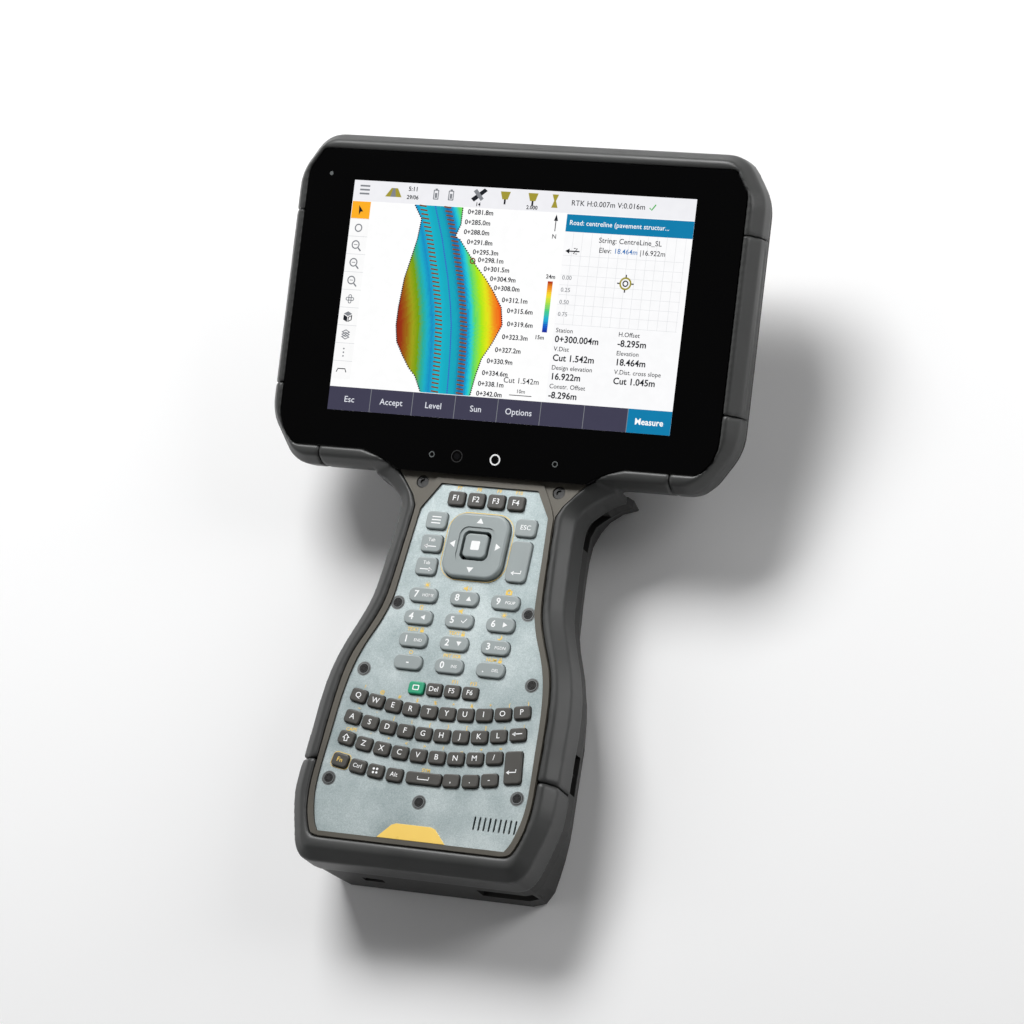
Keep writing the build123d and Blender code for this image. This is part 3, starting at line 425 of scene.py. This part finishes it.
for q in range(3):
    y0 = cy[7] + 1.0 - 1.0 * q
    ui.ring([(cx - 2, y0), (cx, y0 + 1.1), (cx + 2, y0), (cx, y0 - 1.1)], [(cx - 1.2, y0), (cx, y0 + 0.65), (cx + 1.2, y0), (cx, y0 - 0.65)], S, Z4 + 0.01 * q, "lit_grey")
for q in range(3):
    ui.slab(circle(cx, cy[8] + 1.5 - 1.5 * q, 0.35, 12), S, Z4, "lit_grey")
ui.line([(cx - 2.2, cy[9] - 0.8), (cx - 1.6, cy[9] + 0.6), (cx + 1.6, cy[9] + 0.6), (cx + 2.2, cy[9] - 0.8)], 0.4, S, Z4, "lit_text")


# the coloured surface along the road
LEFT_EDGE = [(-47.0, 38.1), (-43.4, 32.7), (-44.2, 24.5), (-46.1, 16.0), (-47.9, 8.3), (-49.0, -3.8), (-49.1, -11.1),
             (-47.9, -17.8), (-44.6, -23.2), (-41.2, -28.0), (-38.0, -31.1), (-34.8, -37.4)]
RIGHT_EDGE = [(-25.7, 38.1), (-25.7, 31.4), (-27.6, 26.3), (-25.6, 25.6), (-20.2, 19.2), (-16.9, 15.2), (-12.0, 10.2),
              (-8.0, 5.4), (-3.6, -1.0), (-2.3, -8.1), (-5.9, -15.9), (-9.6, -22.2), (-11.4, -29.3), (-12.8, -37.4)]
ROAD = [(-38.0, 38.3), (-33.2, 25.1), (-28.7, 9.7), (-26.1, -1.3), (-24.6, -9.6), (-23.7, -20.6), (-23.3, -27.9), (-22.9, -37.4)]


def along(line, y):
    """The x of a line given from top to bottom, at height y."""
    if y >= line[0][1]:
        return line[0][0]
    for (xa, ya), (xb, yb) in zip(line, line[1:]):
        if ya >= y >= yb:
            return xa + (xb - xa) * (ya - y) / (ya - yb)
    return line[-1][0]


def body_edge(v):
    """Left and right edge of the coloured body and the road's centreline, for height y on the display."""
    return along(LEFT_EDGE, v), along(RIGHT_EDGE, v), along(ROAD, v)


HEAT = [(0.0, (0.01, 0.02, 0.30)), (0.12, (0.01, 0.10, 0.55)), (0.26, (0.02, 0.42, 0.62)), (0.42, (0.06, 0.60, 0.22)),
        (0.58, (0.40, 0.72, 0.06)), (0.72, (0.90, 0.72, 0.03)), (0.86, (0.88, 0.28, 0.02)), (1.0, (0.40, 0.02, 0.01))]


def heat(v):
    v = max(0.0, min(1.0, v))
    for (a, ca), (b, cb) in zip(HEAT, HEAT[1:]):
        if v <= b:
            u = (v - a) / (b - a)
            return tuple(x + (y - x) * u for x, y in zip(ca, cb))
    return HEAT[-1][1]


STEPS = 40
for k in range(STEPS):
    M[f"heat_{k}"] = lit(f"heat_{k}", heat((k + 0.5) / STEPS), 1.0)
rows, cols = 100, 70
hv, hf, hi = [], [], []


# colour against distance from the road line, in mm
BANDS = [(-25.0, (0.26, 0.02, 0.006)), (-22.5, (0.30, 0.03, 0.008)), (-20.0, (0.32, 0.12, 0.008)), (-17.0, (0.32, 0.34, 0.012)),
         (-14.5, (0.16, 0.34, 0.006)), (-12.6, (0.03, 0.40, 0.26)), (-10.5, (0.012, 0.42, 0.56)), (-8.6, (0.010, 0.26, 0.53)),
         (-5.5, (0.010, 0.48, 0.62)), (-2.0, (0.010, 0.40, 0.52)), (2.5, (0.010, 0.36, 0.48)), (5.4, (0.008, 0.13, 0.36)),
         (7.2, (0.012, 0.24, 0.52)), (8.8, (0.014, 0.56, 0.68)), (10.6, (0.10, 0.66, 0.16)), (13.2, (0.34, 0.78, 0.012)),
         (16.2, (0.74, 0.76, 0.012)), (18.8, (0.84, 0.32, 0.016)), (21.6, (0.86, 0.11, 0.010)), (24.0, (0.80, 0.06, 0.010))]


def band(d):
    for (a, ca), (b, cb) in zip(BANDS, BANDS[1:]):
        if d <= b:
            u = max(0.0, (d - a) / (b - a))
            return tuple(x + (y - x) * u for x, y in zip(ca, cb))
    return BANDS[-1][1]


TINTS = 64
for k in range(TINTS):
    M[f"band_{k}"] = lit(f"band_{k}", band(-25.0 + 49.0 * (k + 0.5) / TINTS), 1.0)


for a in range(rows + 1):
    y = 38.4 - (38.4 + 37.4) * a / rows
    l, r, m = body_edge(y)
    for b in range(cols + 1):
        hv.append(S(l + (r - l) * b / cols, y, Z2))
for a in range(rows):
    y = 38.4 - (38.4 + 37.4) * (a + 0.5) / rows
    l, r, m = body_edge(y)
    for b in range(cols):
        i = a * (cols + 1) + b
        hf.append((i, i + cols + 1, i + cols + 2, i + 1))
        d = l + (r - l) * (b + 0.5) / cols - m
        hi.append(max(0, min(TINTS - 1, int((d + 25.0) / 49.0 * TINTS))))
hm = bpy.data.meshes.new("display_heatmap")
hm.from_pydata([tuple(v) for v in hv], [], hf)
for k in range(TINTS):
    hm.materials.append(M[f"band_{k}"])
hm.polygons.foreach_set("material_index", hi)
ho = bpy.data.objects.new("display_heatmap", hm)
bpy.context.scene.collection.objects.link(ho)
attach(ho, "housing")

marks = pile("display_map_marks", "housing", "display")
y = 38.0
k = 0
while y > -37.0:
    l, r, m = body_edge(y)
    marks.slab(circle(m, y, 0.34, 8), S, Z3, "lit_road")
    if k % 2 == 0:
        for sgn, off in ((-1, 5.6), (1, 5.5)):
            marks.line([(m + sgn * off - 1.6, y + 0.25), (m + sgn * off + 1.6, y - 0.1)], 0.62, S, Z3, "lit_brown")
    for e in (l, r):
        marks.slab(circle(e, y, 0.34, 8), S, Z3, "lit_text")
    y -= 0.85
    k += 1
marks.ring(circle(-18.6, 17.0, 1.3, 18), circle(-18.6, 17.0, 0.8, 18), S, Z4, "lit_brown")
marks.slab(circle(-18.6, 17.0, 0.55, 12), S, Z4, "lit_green")
labels = ["0+281.8m", "0+285.0m", "0+288.0m", "0+291.8m", "0+295.3m", "0+298.1m", "0+301.5m", "0+304.9m", "0+308.0m", "0+312.1m",
          "0+315.6m", "0+319.6m", "0+323.3m", "0+327.2m", "0+330.9m", "0+334.6m", "0+338.1m", "0+342.0m"]
lab = [(-23.3, 36.7), (-24.1, 32.5), (-24.0, 28.5), (-22.1, 24.5), (-19.0, 20.6), (-16.3, 17.5), (-13.3, 14.0), (-10.0, 10.2),
       (-7.8, 6.6), (-3.7, 2.0), (-0.9, -2.2), (-0.2, -7.5), (-1.7, -12.8), (-4.1, -18.2), (-7.1, -22.9), (-8.6, -27.8),
       (-9.8, -32.2), (-10.1, -36.2)]
for w, (x, y) in zip(labels, lab):
    marks.text(w, x, y, 2.75, S, Z3, "lit_text", align="LEFT", bold=True)
marks.text("24m", 16.4, 12.6, 2.3, S, Z3, "lit_text", bold=True)
marks.text("15m", 14.6, -12.0, 2.3, S, Z3, "lit_text", bold=True)
for k in range(24):
    u0 = k / 24
    yy = -9.8 + 20.6 * u0
    marks.box(15.4, yy, 17.6, yy + 20.6 / 24, S, Z3, f"heat_{int((k + 0.5) * STEPS / 24)}")
marks.text("Cut 1.542m", 9.0, -30.0, 3.2, S, Z3, "lit_text")
marks.line([(4.4, -35.8), (14.2, -35.8)], 0.3, S, Z3, "lit_text")
marks.text("10m", 9.3, -34.2, 2.2, S, Z3, "lit_text")
marks.line([(15.8, 31.0), (15.8, 37.0)], 0.35, S, Z3, "lit_text")
marks.slab([(14.9, 35.2), (16.7, 35.2), (15.8, 37.8)], S, Z3, "lit_text")
marks.text("N", 15.8, 28.8, 2.6, S, Z3, "lit_text")

# right-hand pane
pane = pile("display_side_pane", "housing", "display")
pane.box(20.4, -37.6, HW, 38.6, S, Z2, "lit_pane")
pane.box(20.4, 38.9, HW, HH, S, Z3, "lit_toolbar")
pane.text("RTK H:0.007m V:0.016m", 21.6, 42.7, 3.1, S, Z4, "lit_text", align="LEFT")
pane.line([(55.6, 42.6), (56.5, 41.7), (58.2, 44.0)], 0.5, S, Z4, "lit_green")
pane.box(20.4, 31.2, HW, 38.2, S, Z3, "lit_blue")
pane.text("Road: centreline (pavement structur...", 21.8, 34.8, 2.75, S, Z4, "lit_white", align="LEFT")
pane.text("String: CentreLine_SL", 49.0, 28.4, 3.0, S, Z3, "lit_text")
pane.text("Elev:", 41.4, 24.4, 2.9, S, Z3, "lit_text", align="RIGHT")
pane.text("18.464m", 42.4, 24.4, 2.9, S, Z3, "lit_link", align="LEFT")
pane.text("|16.922m", 53.6, 24.4, 2.9, S, Z3, "lit_text", align="LEFT")
for k in range(8):
    pane.box(20.6, 21.6 - 3.95 * k - 0.06, 73.2, 21.6 - 3.95 * k + 0.06, S, Z3, "lit_grid")
for k in range(13):
    pane.box(24.2 + 4.05 * k - 0.06, -6.2, 24.2 + 4.05 * k + 0.06, 31.0, S, Z3, "lit_grid")
for k, w in enumerate(["0.00", "0.25", "0.50", "0.75"]):
    pane.text(w, 21.4, 12.6 - 4.9 * k, 2.4, S, Z3, "lit_grey", align="LEFT")
pane.ring(circle(49.0, 11.8, 2.6, 28), circle(49.0, 11.8, 1.9, 28), S, Z4, "lit_olive")
pane.ring(circle(49.0, 11.8, 1.3, 20), circle(49.0, 11.8, 0.8, 20), S, Z4, "lit_text")
for a in range(4):
    c, s_ = math.cos(a * math.pi / 2), math.sin(a * math.pi / 2)
    pane.line([(49 + 2.4 * c, 11.8 + 2.4 * s_), (49 + 3.6 * c, 11.8 + 3.6 * s_)], 0.5, S, Z4, "lit_text")
pane.line([(22.0, 23.4), (27.6, 23.4)], 0.5, S, Z4, "lit_text")
pane.slab([(21.4, 23.4), (23.2, 24.4), (23.2, 22.4)], S, Z4, "lit_text")
pane.line([(25.0, 24.6), (26.6, 24.6), (25.0, 22.4), (26.6, 22.4)], 0.35, S, Z4 + 0.02, "lit_text")
readout = [("Station", "0+300.004m", "H.Offset", "-8.295m"), ("V.Dist", "Cut 1.542m", "Elevation", "18.464m"),
           ("Design elevation", "16.922m", "V.Dist. cross slope", "Cut 1.045m"), ("Constr. Offset", "-8.296m", "", "")]
for k, (a, b, c, d) in enumerate(readout):
    yy = -8.6 - 7.5 * k
    pane.text(a, 21.4, yy, 2.6, S, Z3, "lit_text", align="LEFT")
    pane.text(b, 21.4, yy - 3.6, 3.7, S, Z3, "lit_text", align="LEFT", bold=True)
    pane.text(c, 48.6, yy, 2.6, S, Z3, "lit_text", align="LEFT")
    pane.text(d, 48.6, yy - 3.6, 3.7, S, Z3, "lit_text", align="LEFT", bold=True)

# marks on the glass below the display
gl = pile("glass_marks", "housing", "glass_black")
gl.ring(circle(-15.3, -62.0, 2.5, 32), circle(-15.3, -62.0, 2.15, 32), S, 0.02, "dark", 0.015)
gl.slab(circle(-15.3, -62.0, 1.3, 24), S, 0.02, "camera", 0.015)
for mx in (-26.4, 27.8):
    gl.ring(circle(mx, -62.0, 1.25, 24), circle(mx, -62.0, 0.85, 24), S, 0.03, "ink_grey", 0.02)
gl.ring(circle(1.6, -62.2, 2.3, 32), circle(1.6, -62.2, 1.7, 32), S, 0.03, "ink_white", 0.02)
gl.slab(circle(-86.4, 49.3, 0.8, 20), S, 0.02, "ink_grey", 0.015)

# ---------------------------------------------------------------- keypad lettering
RISE = 1.32


def on_key(body, place_slot="key_dark"):
    return pile("legend_" + body, body, place_slot)


for k, (x, w) in enumerate(((-13.1, "F1"), (-4.4, "F2"), (4.4, "F3"), (13.1, "F4"))):
    on_key(f"key_f{k + 1}").text(w, x, 10.4, 3.3, K, 1.41, "ink_white")
p = on_key("key_menu", "key_grey")
for k in (-1, 0, 1):
    p.box(-21.6, 20.2 + 1.3 * k - 0.22, -17.6, 20.2 + 1.3 * k + 0.22, K, RISE, "ink_white")
for nm, yy, d in (("key_tab_back", 30.0, -1), ("key_tab_forward", 39.7, 1)):
    p = on_key(nm, "key_grey")
    p.text("Tab", -19.5, yy - 1.3, 2.0, K, RISE, "ink_white")
    p.line([(-21.9, yy + 1.4), (-17.1, yy + 1.4)], 0.4, K, RISE, "ink_white")
    tip = -19.5 + d * 2.9
    p.slab([(tip, yy + 1.4), (tip - d * 1.5, yy + 0.5), (tip - d * 1.5, yy + 2.3)], K, RISE, "ink_white")
on_key("key_escape", "key_grey").text("ESC", 19.7, 20.3, 2.8, K, RISE, "ink_white")


def enter_sign(p, x, s, size, z, turn=0.0):
    c, q = math.cos(math.radians(turn)), math.sin(math.radians(turn))

    def at(u, v):
        return (x + u * c + v * q, s - u * q + v * c)
    p.line([at(size, -size * 0.55), at(size, size * 0.1), at(-size * 0.7, size * 0.1)], 0.42, K, z, "ink_white")
    p.slab([at(-size * 1.25, size * 0.1), at(-size * 0.55, -size * 0.4), at(-size * 0.55, size * 0.6)], K, z, "ink_white")


enter_sign(on_key("key_enter_upper", "key_grey"), 19.9, 39.3, 1.9, RISE)
enter_sign(on_key("key_enter_lower"), 36.7, 120.4, 1.8, RISE, 8)

number = [("7", "HOME"), ("8", "^"), ("9", "PGUP"), ("4", "<"), ("5", "v"), ("6", ">"), ("1", "END"), ("2", "_"), ("3", "PGDN"),
          ("-", ""), ("0", "INS"), (".", "DEL")]
names = ["7", "8", "9", "4", "5", "6", "1", "2", "3", "minus", "0", "point"]
for k, (a, b) in enumerate(number):
    x, s_ = (-18.0, 0.0, 18.0)[k % 3], (51.8, 61.2, 70.7, 80.1)[k // 3]
    p = on_key("key_number_" + names[k], "key_grey")
    p.text(a, x - (2.9 if b else 0), s_, 3.9, K, RISE, "ink_white", bold=True)
    if len(b) > 1:
        p.text(b, x + 2.3, s_ + 0.2, 1.75, K, RISE, "ink_white")
    elif b:
        ax, ay = x + 2.2, s_
        tri = {"^": [(0, -1.0), (1.1, 0.9), (-1.1, 0.9)], "_": [(0, 1.0), (1.1, -0.9), (-1.1, -0.9)],
               "<": [(-1.0, 0), (0.9, -1.1), (0.9, 1.1)], ">": [(1.0, 0), (-0.9, -1.1), (-0.9, 1.1)]}
        if b in tri:
            p.slab([(ax + u, ay + v) for u, v in tri[b]], K, RISE, "ink_white")
        else:
            p.line([(ax - 1.1, ay - 0.1), (ax - 0.2, ay + 0.8), (ax + 1.2, ay - 1.0)], 0.4, K, RISE, "ink_white")

p = on_key("key_app", "key_green")
p.ring(rounded(-13.3, 89.2, -10.5, 91.4, 0.4), rounded(-12.9, 89.6, -10.9, 91.0, 0.3), K, RISE, "ink_white")
p = on_key("keys_edit_row")
for x, w in ((-4.1, "Del"), (3.7, "F5"), (11.6, "F6")):
    p.text(w, x, 90.3, 2.9, K, RISE, "ink_white")

BOW = 0.00298


def bow(x, s0):
    return s0 - BOW * x * x, math.degrees(math.atan(2 * BOW * x)) * 0.8


row1, row2, row3 = "QWERTYUIOP", "ASDFGHJKL", "ZXCVBNM/"
p = on_key("keys_letter_row_1")
for k, w in enumerate(row1):
    x = -35.9 + 7.93 * k
    s_, t_ = bow(x, 99.7)
    p.text(w, x, s_, 3.2, K, RISE, "ink_white", turn=t_)
p = on_key("keys_letter_row_2")
for k, w in enumerate(row2):
    x = -36.4 + 8.01 * k
    s_, t_ = bow(x, 108.8)
    p.text(w, x, s_, 3.2, K, RISE, "ink_white", turn=t_)
x = -36.4 + 8.01 * 9
s_, t_ = bow(x, 108.8)
p.line([(x - 1.6, s_ + 0.1), (x + 2.0, s_ - 0.5)], 0.4, K, RISE, "ink_white")
p.slab([(x - 2.3, s_ + 0.2), (x - 0.9, s_ - 0.9), (x - 0.7, s_ + 0.9)], K, RISE, "ink_white")
p = on_key("keys_letter_row_3")
x = -37.0
s_, t_ = bow(x, 117.8)
up = [(0, -1.7), (1.6, 0.1), (0.8, 0.1), (0.8, 1.5), (-0.8, 1.5), (-0.8, 0.1), (-1.6, 0.1)]
inn = [(0, -1.15), (0.9, -0.2), (0.45, -0.2), (0.45, 1.15), (-0.45, 1.15), (-0.45, -0.2), (-0.9, -0.2)]
p.ring([(x + u, s_ + v) for u, v in up], [(x + u, s_ + v) for u, v in inn], K, RISE, "ink_white")
for k, w in enumerate(row3):
    x = -37.0 + 8.12 * (k + 1)
    s_, t_ = bow(x, 117.8)
    p.text(w, x, s_, 3.2, K, RISE, "ink_white", turn=t_)
p = on_key("keys_modifier_row")
for x, s0, w, col, sz in ((-37.5, 127.2, "Fn", "ink_yellow", 2.7), (-29.3, 127.3, "Ctrl", "ink_white", 2.4), (-12.8, 127.1, "Alt", "ink_white", 2.6),
                          (11.8, 126.9, ",", "ink_white", 3.2), (20.0, 127.0, ".", "ink_white", 3.2), (28.0, 126.9, "-", "ink_white", 3.2)):
    s_, t_ = bow(x, s0)
    p.text(w, x, s_, sz, K, RISE, col, turn=t_)
s_, t_ = bow(-21.2, 127.2)
for dx in (-0.75, 0.75):
    p.slab(circle(-21.2 + dx, s_ - 0.75, 0.5, 12), K, RISE, "ink_white")
    p.slab(circle(-21.2 + dx, s_ + 0.75, 0.5, 12), K, RISE, "ink_white")
p.line([(-2.4, 126.2), (-2.4, 127.4), (2.4, 127.4), (2.4, 126.2)], 0.35, K, RISE, "ink_white")

# rocker: arrow marks; button: white square
p = on_key("dpad")
for dx, ds in ((0, -1), (0, 1), (-1, 0), (1, 0)):
    c0, c1 = 0.2 + dx * 9.8, 29.8 + ds * 10.2
    if dx:
        tri = [(c0 + dx * 1.3, c1), (c0 - dx * 0.9, c1 - 1.5), (c0 - dx * 0.9, c1 + 1.5)]
    else:
        tri = [(c0, c1 + ds * 1.3), (c0 - 1.5, c1 - ds * 0.9), (c0 + 1.5, c1 - ds * 0.9)]
    p.slab(tri, K, 2.42, "ink_white")
p = on_key("key_select")
p.slab(rounded(0.2 - 1.9, 29.8 - 1.9, 0.2 + 1.9, 29.8 + 1.9, 0.5), K, 2.33, "ink_white")

# yellow second legends and outlines printed on the panel
pr = pile("panel_print", "housing", "panel_grey")
for x, w in ((-13.1, "F7"), (-4.4, "F8"), (4.4, "F9"), (13.1, "F10")):
    pr.text(w, x, 5.7, 2.1, K, 0.05, "ink_yellow", bold=True)
pr.ring(rounded(-14.4, 15.4, 14.8, 44.2, 8.2, 8), rounded(-14.1, 15.7, 14.5, 43.9, 7.9, 8), K, 0.03, "ink_yellow")
s_, t_ = bow(-37.5, 127.2)
cc, qq = math.cos(math.radians(t_)), math.sin(math.radians(t_))


def turned(pts, x, s, c, q):
    return [(x + u * c + v * q, s - u * q + v * c) for u, v in pts]


pr.ring(turned(rounded(-4.15, -3.35, 4.15, 3.35, 1.9), -37.5, s_, cc, qq), turned(rounded(-3.9, -3.1, 3.9, 3.1, 1.7), -37.5, s_, cc, qq), K, 0.03, "ink_yellow")
for x, s0, w in ((-19.4, 66.2, "TEXT"), (-1.2, 66.2, "TEXT"), (0, 75.7, "PRT SCR"), (17.2, 75.7, "NUM"), (3.9, 86.2, "F11"),
                 (11.9, 86.2, "F12"), (0.0, 123.3, "SYM"), (-36.0, 109.9, "CAPS")):
    pr.text(w, x, s0, 2.0, K, 0.05, "ink_yellow", bold=True)


def lamp(x, s, r):
    """A small sun sign: a disc and eight rays."""
    pr.slab(circle(x, s, r * 0.5, 14), K, 0.05, "ink_yellow")
    for k in range(8):
        a = math.pi / 4 * k
        pr.line([(x + r * 0.65 * math.cos(a), s + r * 0.65 * math.sin(a)), (x + r * math.cos(a), s + r * math.sin(a))], 0.28, K, 0.05, "ink_yellow")


def lock(x, s):
    """A small padlock sign."""
    pr.box(x - 0.75, s - 0.2, x + 0.75, s + 0.95, K, 0.05, "ink_yellow", 0.15)
    pr.ring([(x - 0.6, s - 0.1), (x - 0.5, s - 0.9), (x, s - 1.2), (x + 0.5, s - 0.9), (x + 0.6, s - 0.1)],
            [(x - 0.3, s - 0.1), (x - 0.25, s - 0.7), (x, s - 0.85), (x + 0.25, s - 0.7), (x + 0.3, s - 0.1)], K, 0.05, "ink_yellow")


lamp(-17.6, 47.3, 1.3)
lamp(18.4, 56.9, 1.2)
for x, s0 in ((-15.4, 66.2), (2.6, 66.2), (21.0, 75.7)):
    lock(x, s0)
# speaker loud and soft, camera, battery, moon, lamp outline
for x, s0, waves in ((0.0, 47.3, 2), (0.0, 56.9, 0)):
    pr.slab([(x - 1.5, s0 - 0.45), (x - 0.8, s0 - 0.45), (x + 0.2, s0 - 1.2), (x + 0.2, s0 + 1.2), (x - 0.8, s0 + 0.45), (x - 1.5, s0 + 0.45)], K, 0.05, "ink_yellow")
    for k in range(waves):
        pr.line([(x + 0.8 + 0.7 * k, s0 - 0.5 - 0.3 * k), (x + 1.0 + 0.7 * k, s0), (x + 0.8 + 0.7 * k, s0 + 0.5 + 0.3 * k)], 0.26, K, 0.05, "ink_yellow")
pr.ring(rounded(16.9, 46.5, 19.7, 48.4, 0.3, 3), [(18.3 + 0.55 * math.cos(a * math.pi / 8 - math.pi * 3 / 8), 47.45 + 0.55 * math.sin(a * math.pi / 8 - math.pi * 3 / 8)) for a in range(16)], K, 0.05, "ink_yellow")
pr.box(17.7, 46.0, 18.9, 46.6, K, 0.05, "ink_yellow")
pr.ring(rounded(-18.6, 55.9, -17.2, 57.9, 0.4, 3), rounded(-18.3, 56.2, -17.5, 57.6, 0.3, 3), K, 0.05, "ink_yellow")
pr.slab([(18.6 + 1.1 * math.cos(a), 66.2 + 1.1 * math.sin(a)) for a in [math.radians(q) for q in range(-60, 151, 15)]]
        + [(18.2 + 0.95 * math.cos(a), 65.85 + 0.95 * math.sin(a)) for a in [math.radians(q) for q in range(135, -46, -15)]], K, 0.05, "ink_yellow")
pr.ring(circle(-18.0, 75.7, 0.85, 16), circle(-18.0, 75.7, 0.55, 16), K, 0.05, "ink_yellow")
for row, x0, dx, s0 in (("!@#$%^&*()", -35.9, 7.93, 99.7), ("~`|\\{}[]:;", -36.4, 8.01, 108.8), ("'\"<>?_+=", -28.9, 8.12, 117.8)):
    for k, w in enumerate(row):
        x = x0 + dx * k
        s_, t_ = bow(x, s0 - 4.05)
        pr.text(w, x + 1.6, s_, 2.0, K, 0.05, "ink_yellow", turn=t_, bold=True)
# recess rings around the screws, and each screw's drive socket as painted shade: a near-black ring and star laid flat
# on the head
SCREWS = [(28.6, 55.7), (-28.6, 55.7), (36.7, 84.4), (-36.7, 84.4), (41.0, 130.6), (-41.0, 130.6), (0, 136.4)]
heads = [v.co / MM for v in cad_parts["case_screws"].data.vertices]
for x, s_ in SCREWS:
    near = [v for v in heads if math.hypot(v.x - x, v.y - (HINGE.y - s_)) < 4.0]
    top = max(v.z for v in near) - HINGE.z
    rim = max(math.hypot(v.x - x, v.y - (HINGE.y - s_)) for v in near if v.z > HINGE.z + top - 0.4)
    pr.ring(circle(x, s_, rim + 0.55, 36), circle(x, s_, rim + 0.08, 36), K, 0.08, "ring_metal", 0.08)
    pr.ring(circle(x, s_, rim - 0.10, 36), circle(x, s_, rim * 0.80, 36), K, top + 0.05, "ring_metal", 0.05)
    # painted shade: the drive socket's hollow drawn as a near-black ring and a six-point star on the head
    pr.ring(circle(x, s_, rim * 0.80, 36), circle(x, s_, rim * 0.62, 36), K, top + 0.03, "dark", 0.03)
    star = [(x + rim * (0.60 if k % 2 else 0.36) * math.cos(math.pi * k / 6), s_ + rim * (0.60 if k % 2 else 0.36) * math.sin(math.pi * k / 6)) for k in range(12)]
    pr.slab(star, K, top + 0.04, "dark", 0.03)
# gold contacts in the docking recess
gc = pile("dock_contacts", "housing", "contact_gold")
for k in range(9):
    gx = 33.5 + 2.1 * (k - 4)
    for sa, na in ((156.62, -29.1), (156.62, -27.0)):
        i = len(gc.verts)
        pts = [K(gx - 0.45, sa, na), K(gx + 0.45, sa, na), K(gx + 0.45, sa, na + 1.7), K(gx - 0.45, sa, na + 1.7)]
        gc.verts += pts + [p_ + Vector((0, 0.00025, 0)) for p_ in pts]
        gc.faces += [(i, i + 1, i + 2, i + 3), (i + 7, i + 6, i + 5, i + 4), (i, i + 4, i + 5, i + 1), (i + 1, i + 5, i + 6, i + 2),
                     (i + 2, i + 6, i + 7, i + 3), (i + 3, i + 7, i + 4, i)]
        gc.mats += [gc.mat("gold")] * 6

make_piles()

# ---------------------------------------------------------------- stage, light, camera
fl = bpy.data.meshes.new("floor")
fl.from_pydata([(-9, -9, 0), (9, -9, 0), (9, 9, 0), (-9, 9, 0)], [], [(0, 1, 2, 3)])
floor = bpy.data.objects.new("floor", fl)
bpy.context.scene.collection.objects.link(floor)
fl.materials.append(grained("floor_paper", (0.93, 0.93, 0.93), 0.75, scale=160, bump=0.02, vary=0.01, big=3.0))

w = bpy.data.worlds.new("studio")
bpy.context.scene.world = w
w.use_nodes = True
wt = w.node_tree
bg = wt.nodes["Background"]
wc = wt.nodes.new("ShaderNodeTexCoord")
ws = wt.nodes.new("ShaderNodeSeparateXYZ")
wt.links.new(wc.outputs["Generated"], ws.inputs[0])
wr = ramp(wt, ws.outputs["Z"], [(0.0, (0.42, 0.42, 0.42)), (0.35, (0.40, 0.40, 0.41)), (0.62, (0.08, 0.08, 0.08)), (0.8, (0.03, 0.03, 0.03))])
wt.links.new(wr.outputs["Color"], bg.inputs[0])
bg.inputs[1].default_value = 1.0
bpy.context.scene.view_settings.view_transform = "Standard"


def area(name, loc, target, size, power, size_y=None):
    li = bpy.data.lights.new(name, "AREA")
    li.shape = "RECTANGLE"
    li.size, li.size_y = size, size_y or size
    li.energy = power
    ob = bpy.data.objects.new(name, li)
    bpy.context.scene.collection.objects.link(ob)
    ob.location = loc
    ob.rotation_euler = (Vector(target) - Vector(loc)).to_track_quat("-Z", "Y").to_euler()
    return ob


area("key_light", (-0.45, 0.95, 1.15), (0, 0.03, 0.03), 0.8, 25, 0.6)
area("side_light", (1.0, 0.45, 0.6), (0, 0, 0.02), 0.4, 5, 0.8)
area("front_light", (-1.1, -0.3, 0.9), (0, -0.05, 0.03), 0.8, 2.5)

# camera: rotation and place from the fit of the display and keypad planes, 1024 x 1024
rv = Vector((-0.0947, 0.4223, 0.1016))
R = Matrix.Rotation(rv.length, 3, rv.normalized()) @ Matrix.Diagonal((1, -1, -1))
tv = Vector((-0.9000, -82.520, 2019.3))
pos = -(R.transposed() @ tv)


def f_dir(v):
    return Vector((v[0], 0, 0)) + FY * v[1] + FZ * v[2]


right, down, fwd = f_dir(R[0]), f_dir(R[1]), f_dir(R[2])
cam_data = bpy.data.cameras.new("camera")
cam_data.sensor_width = 36.0
cam_data.lens = 5050.9 / 1024 * 36.0
cam_data.clip_start, cam_data.clip_end = 0.05, 50.0
cam = bpy.data.objects.new("camera", cam_data)
bpy.context.scene.collection.objects.link(cam)
m3 = Matrix((right, -down, -fwd)).transposed()
cam.matrix_world = Matrix.Translation(S(pos.x, pos.y, pos.z)) @ m3.to_4x4()
bpy.context.scene.camera = cam
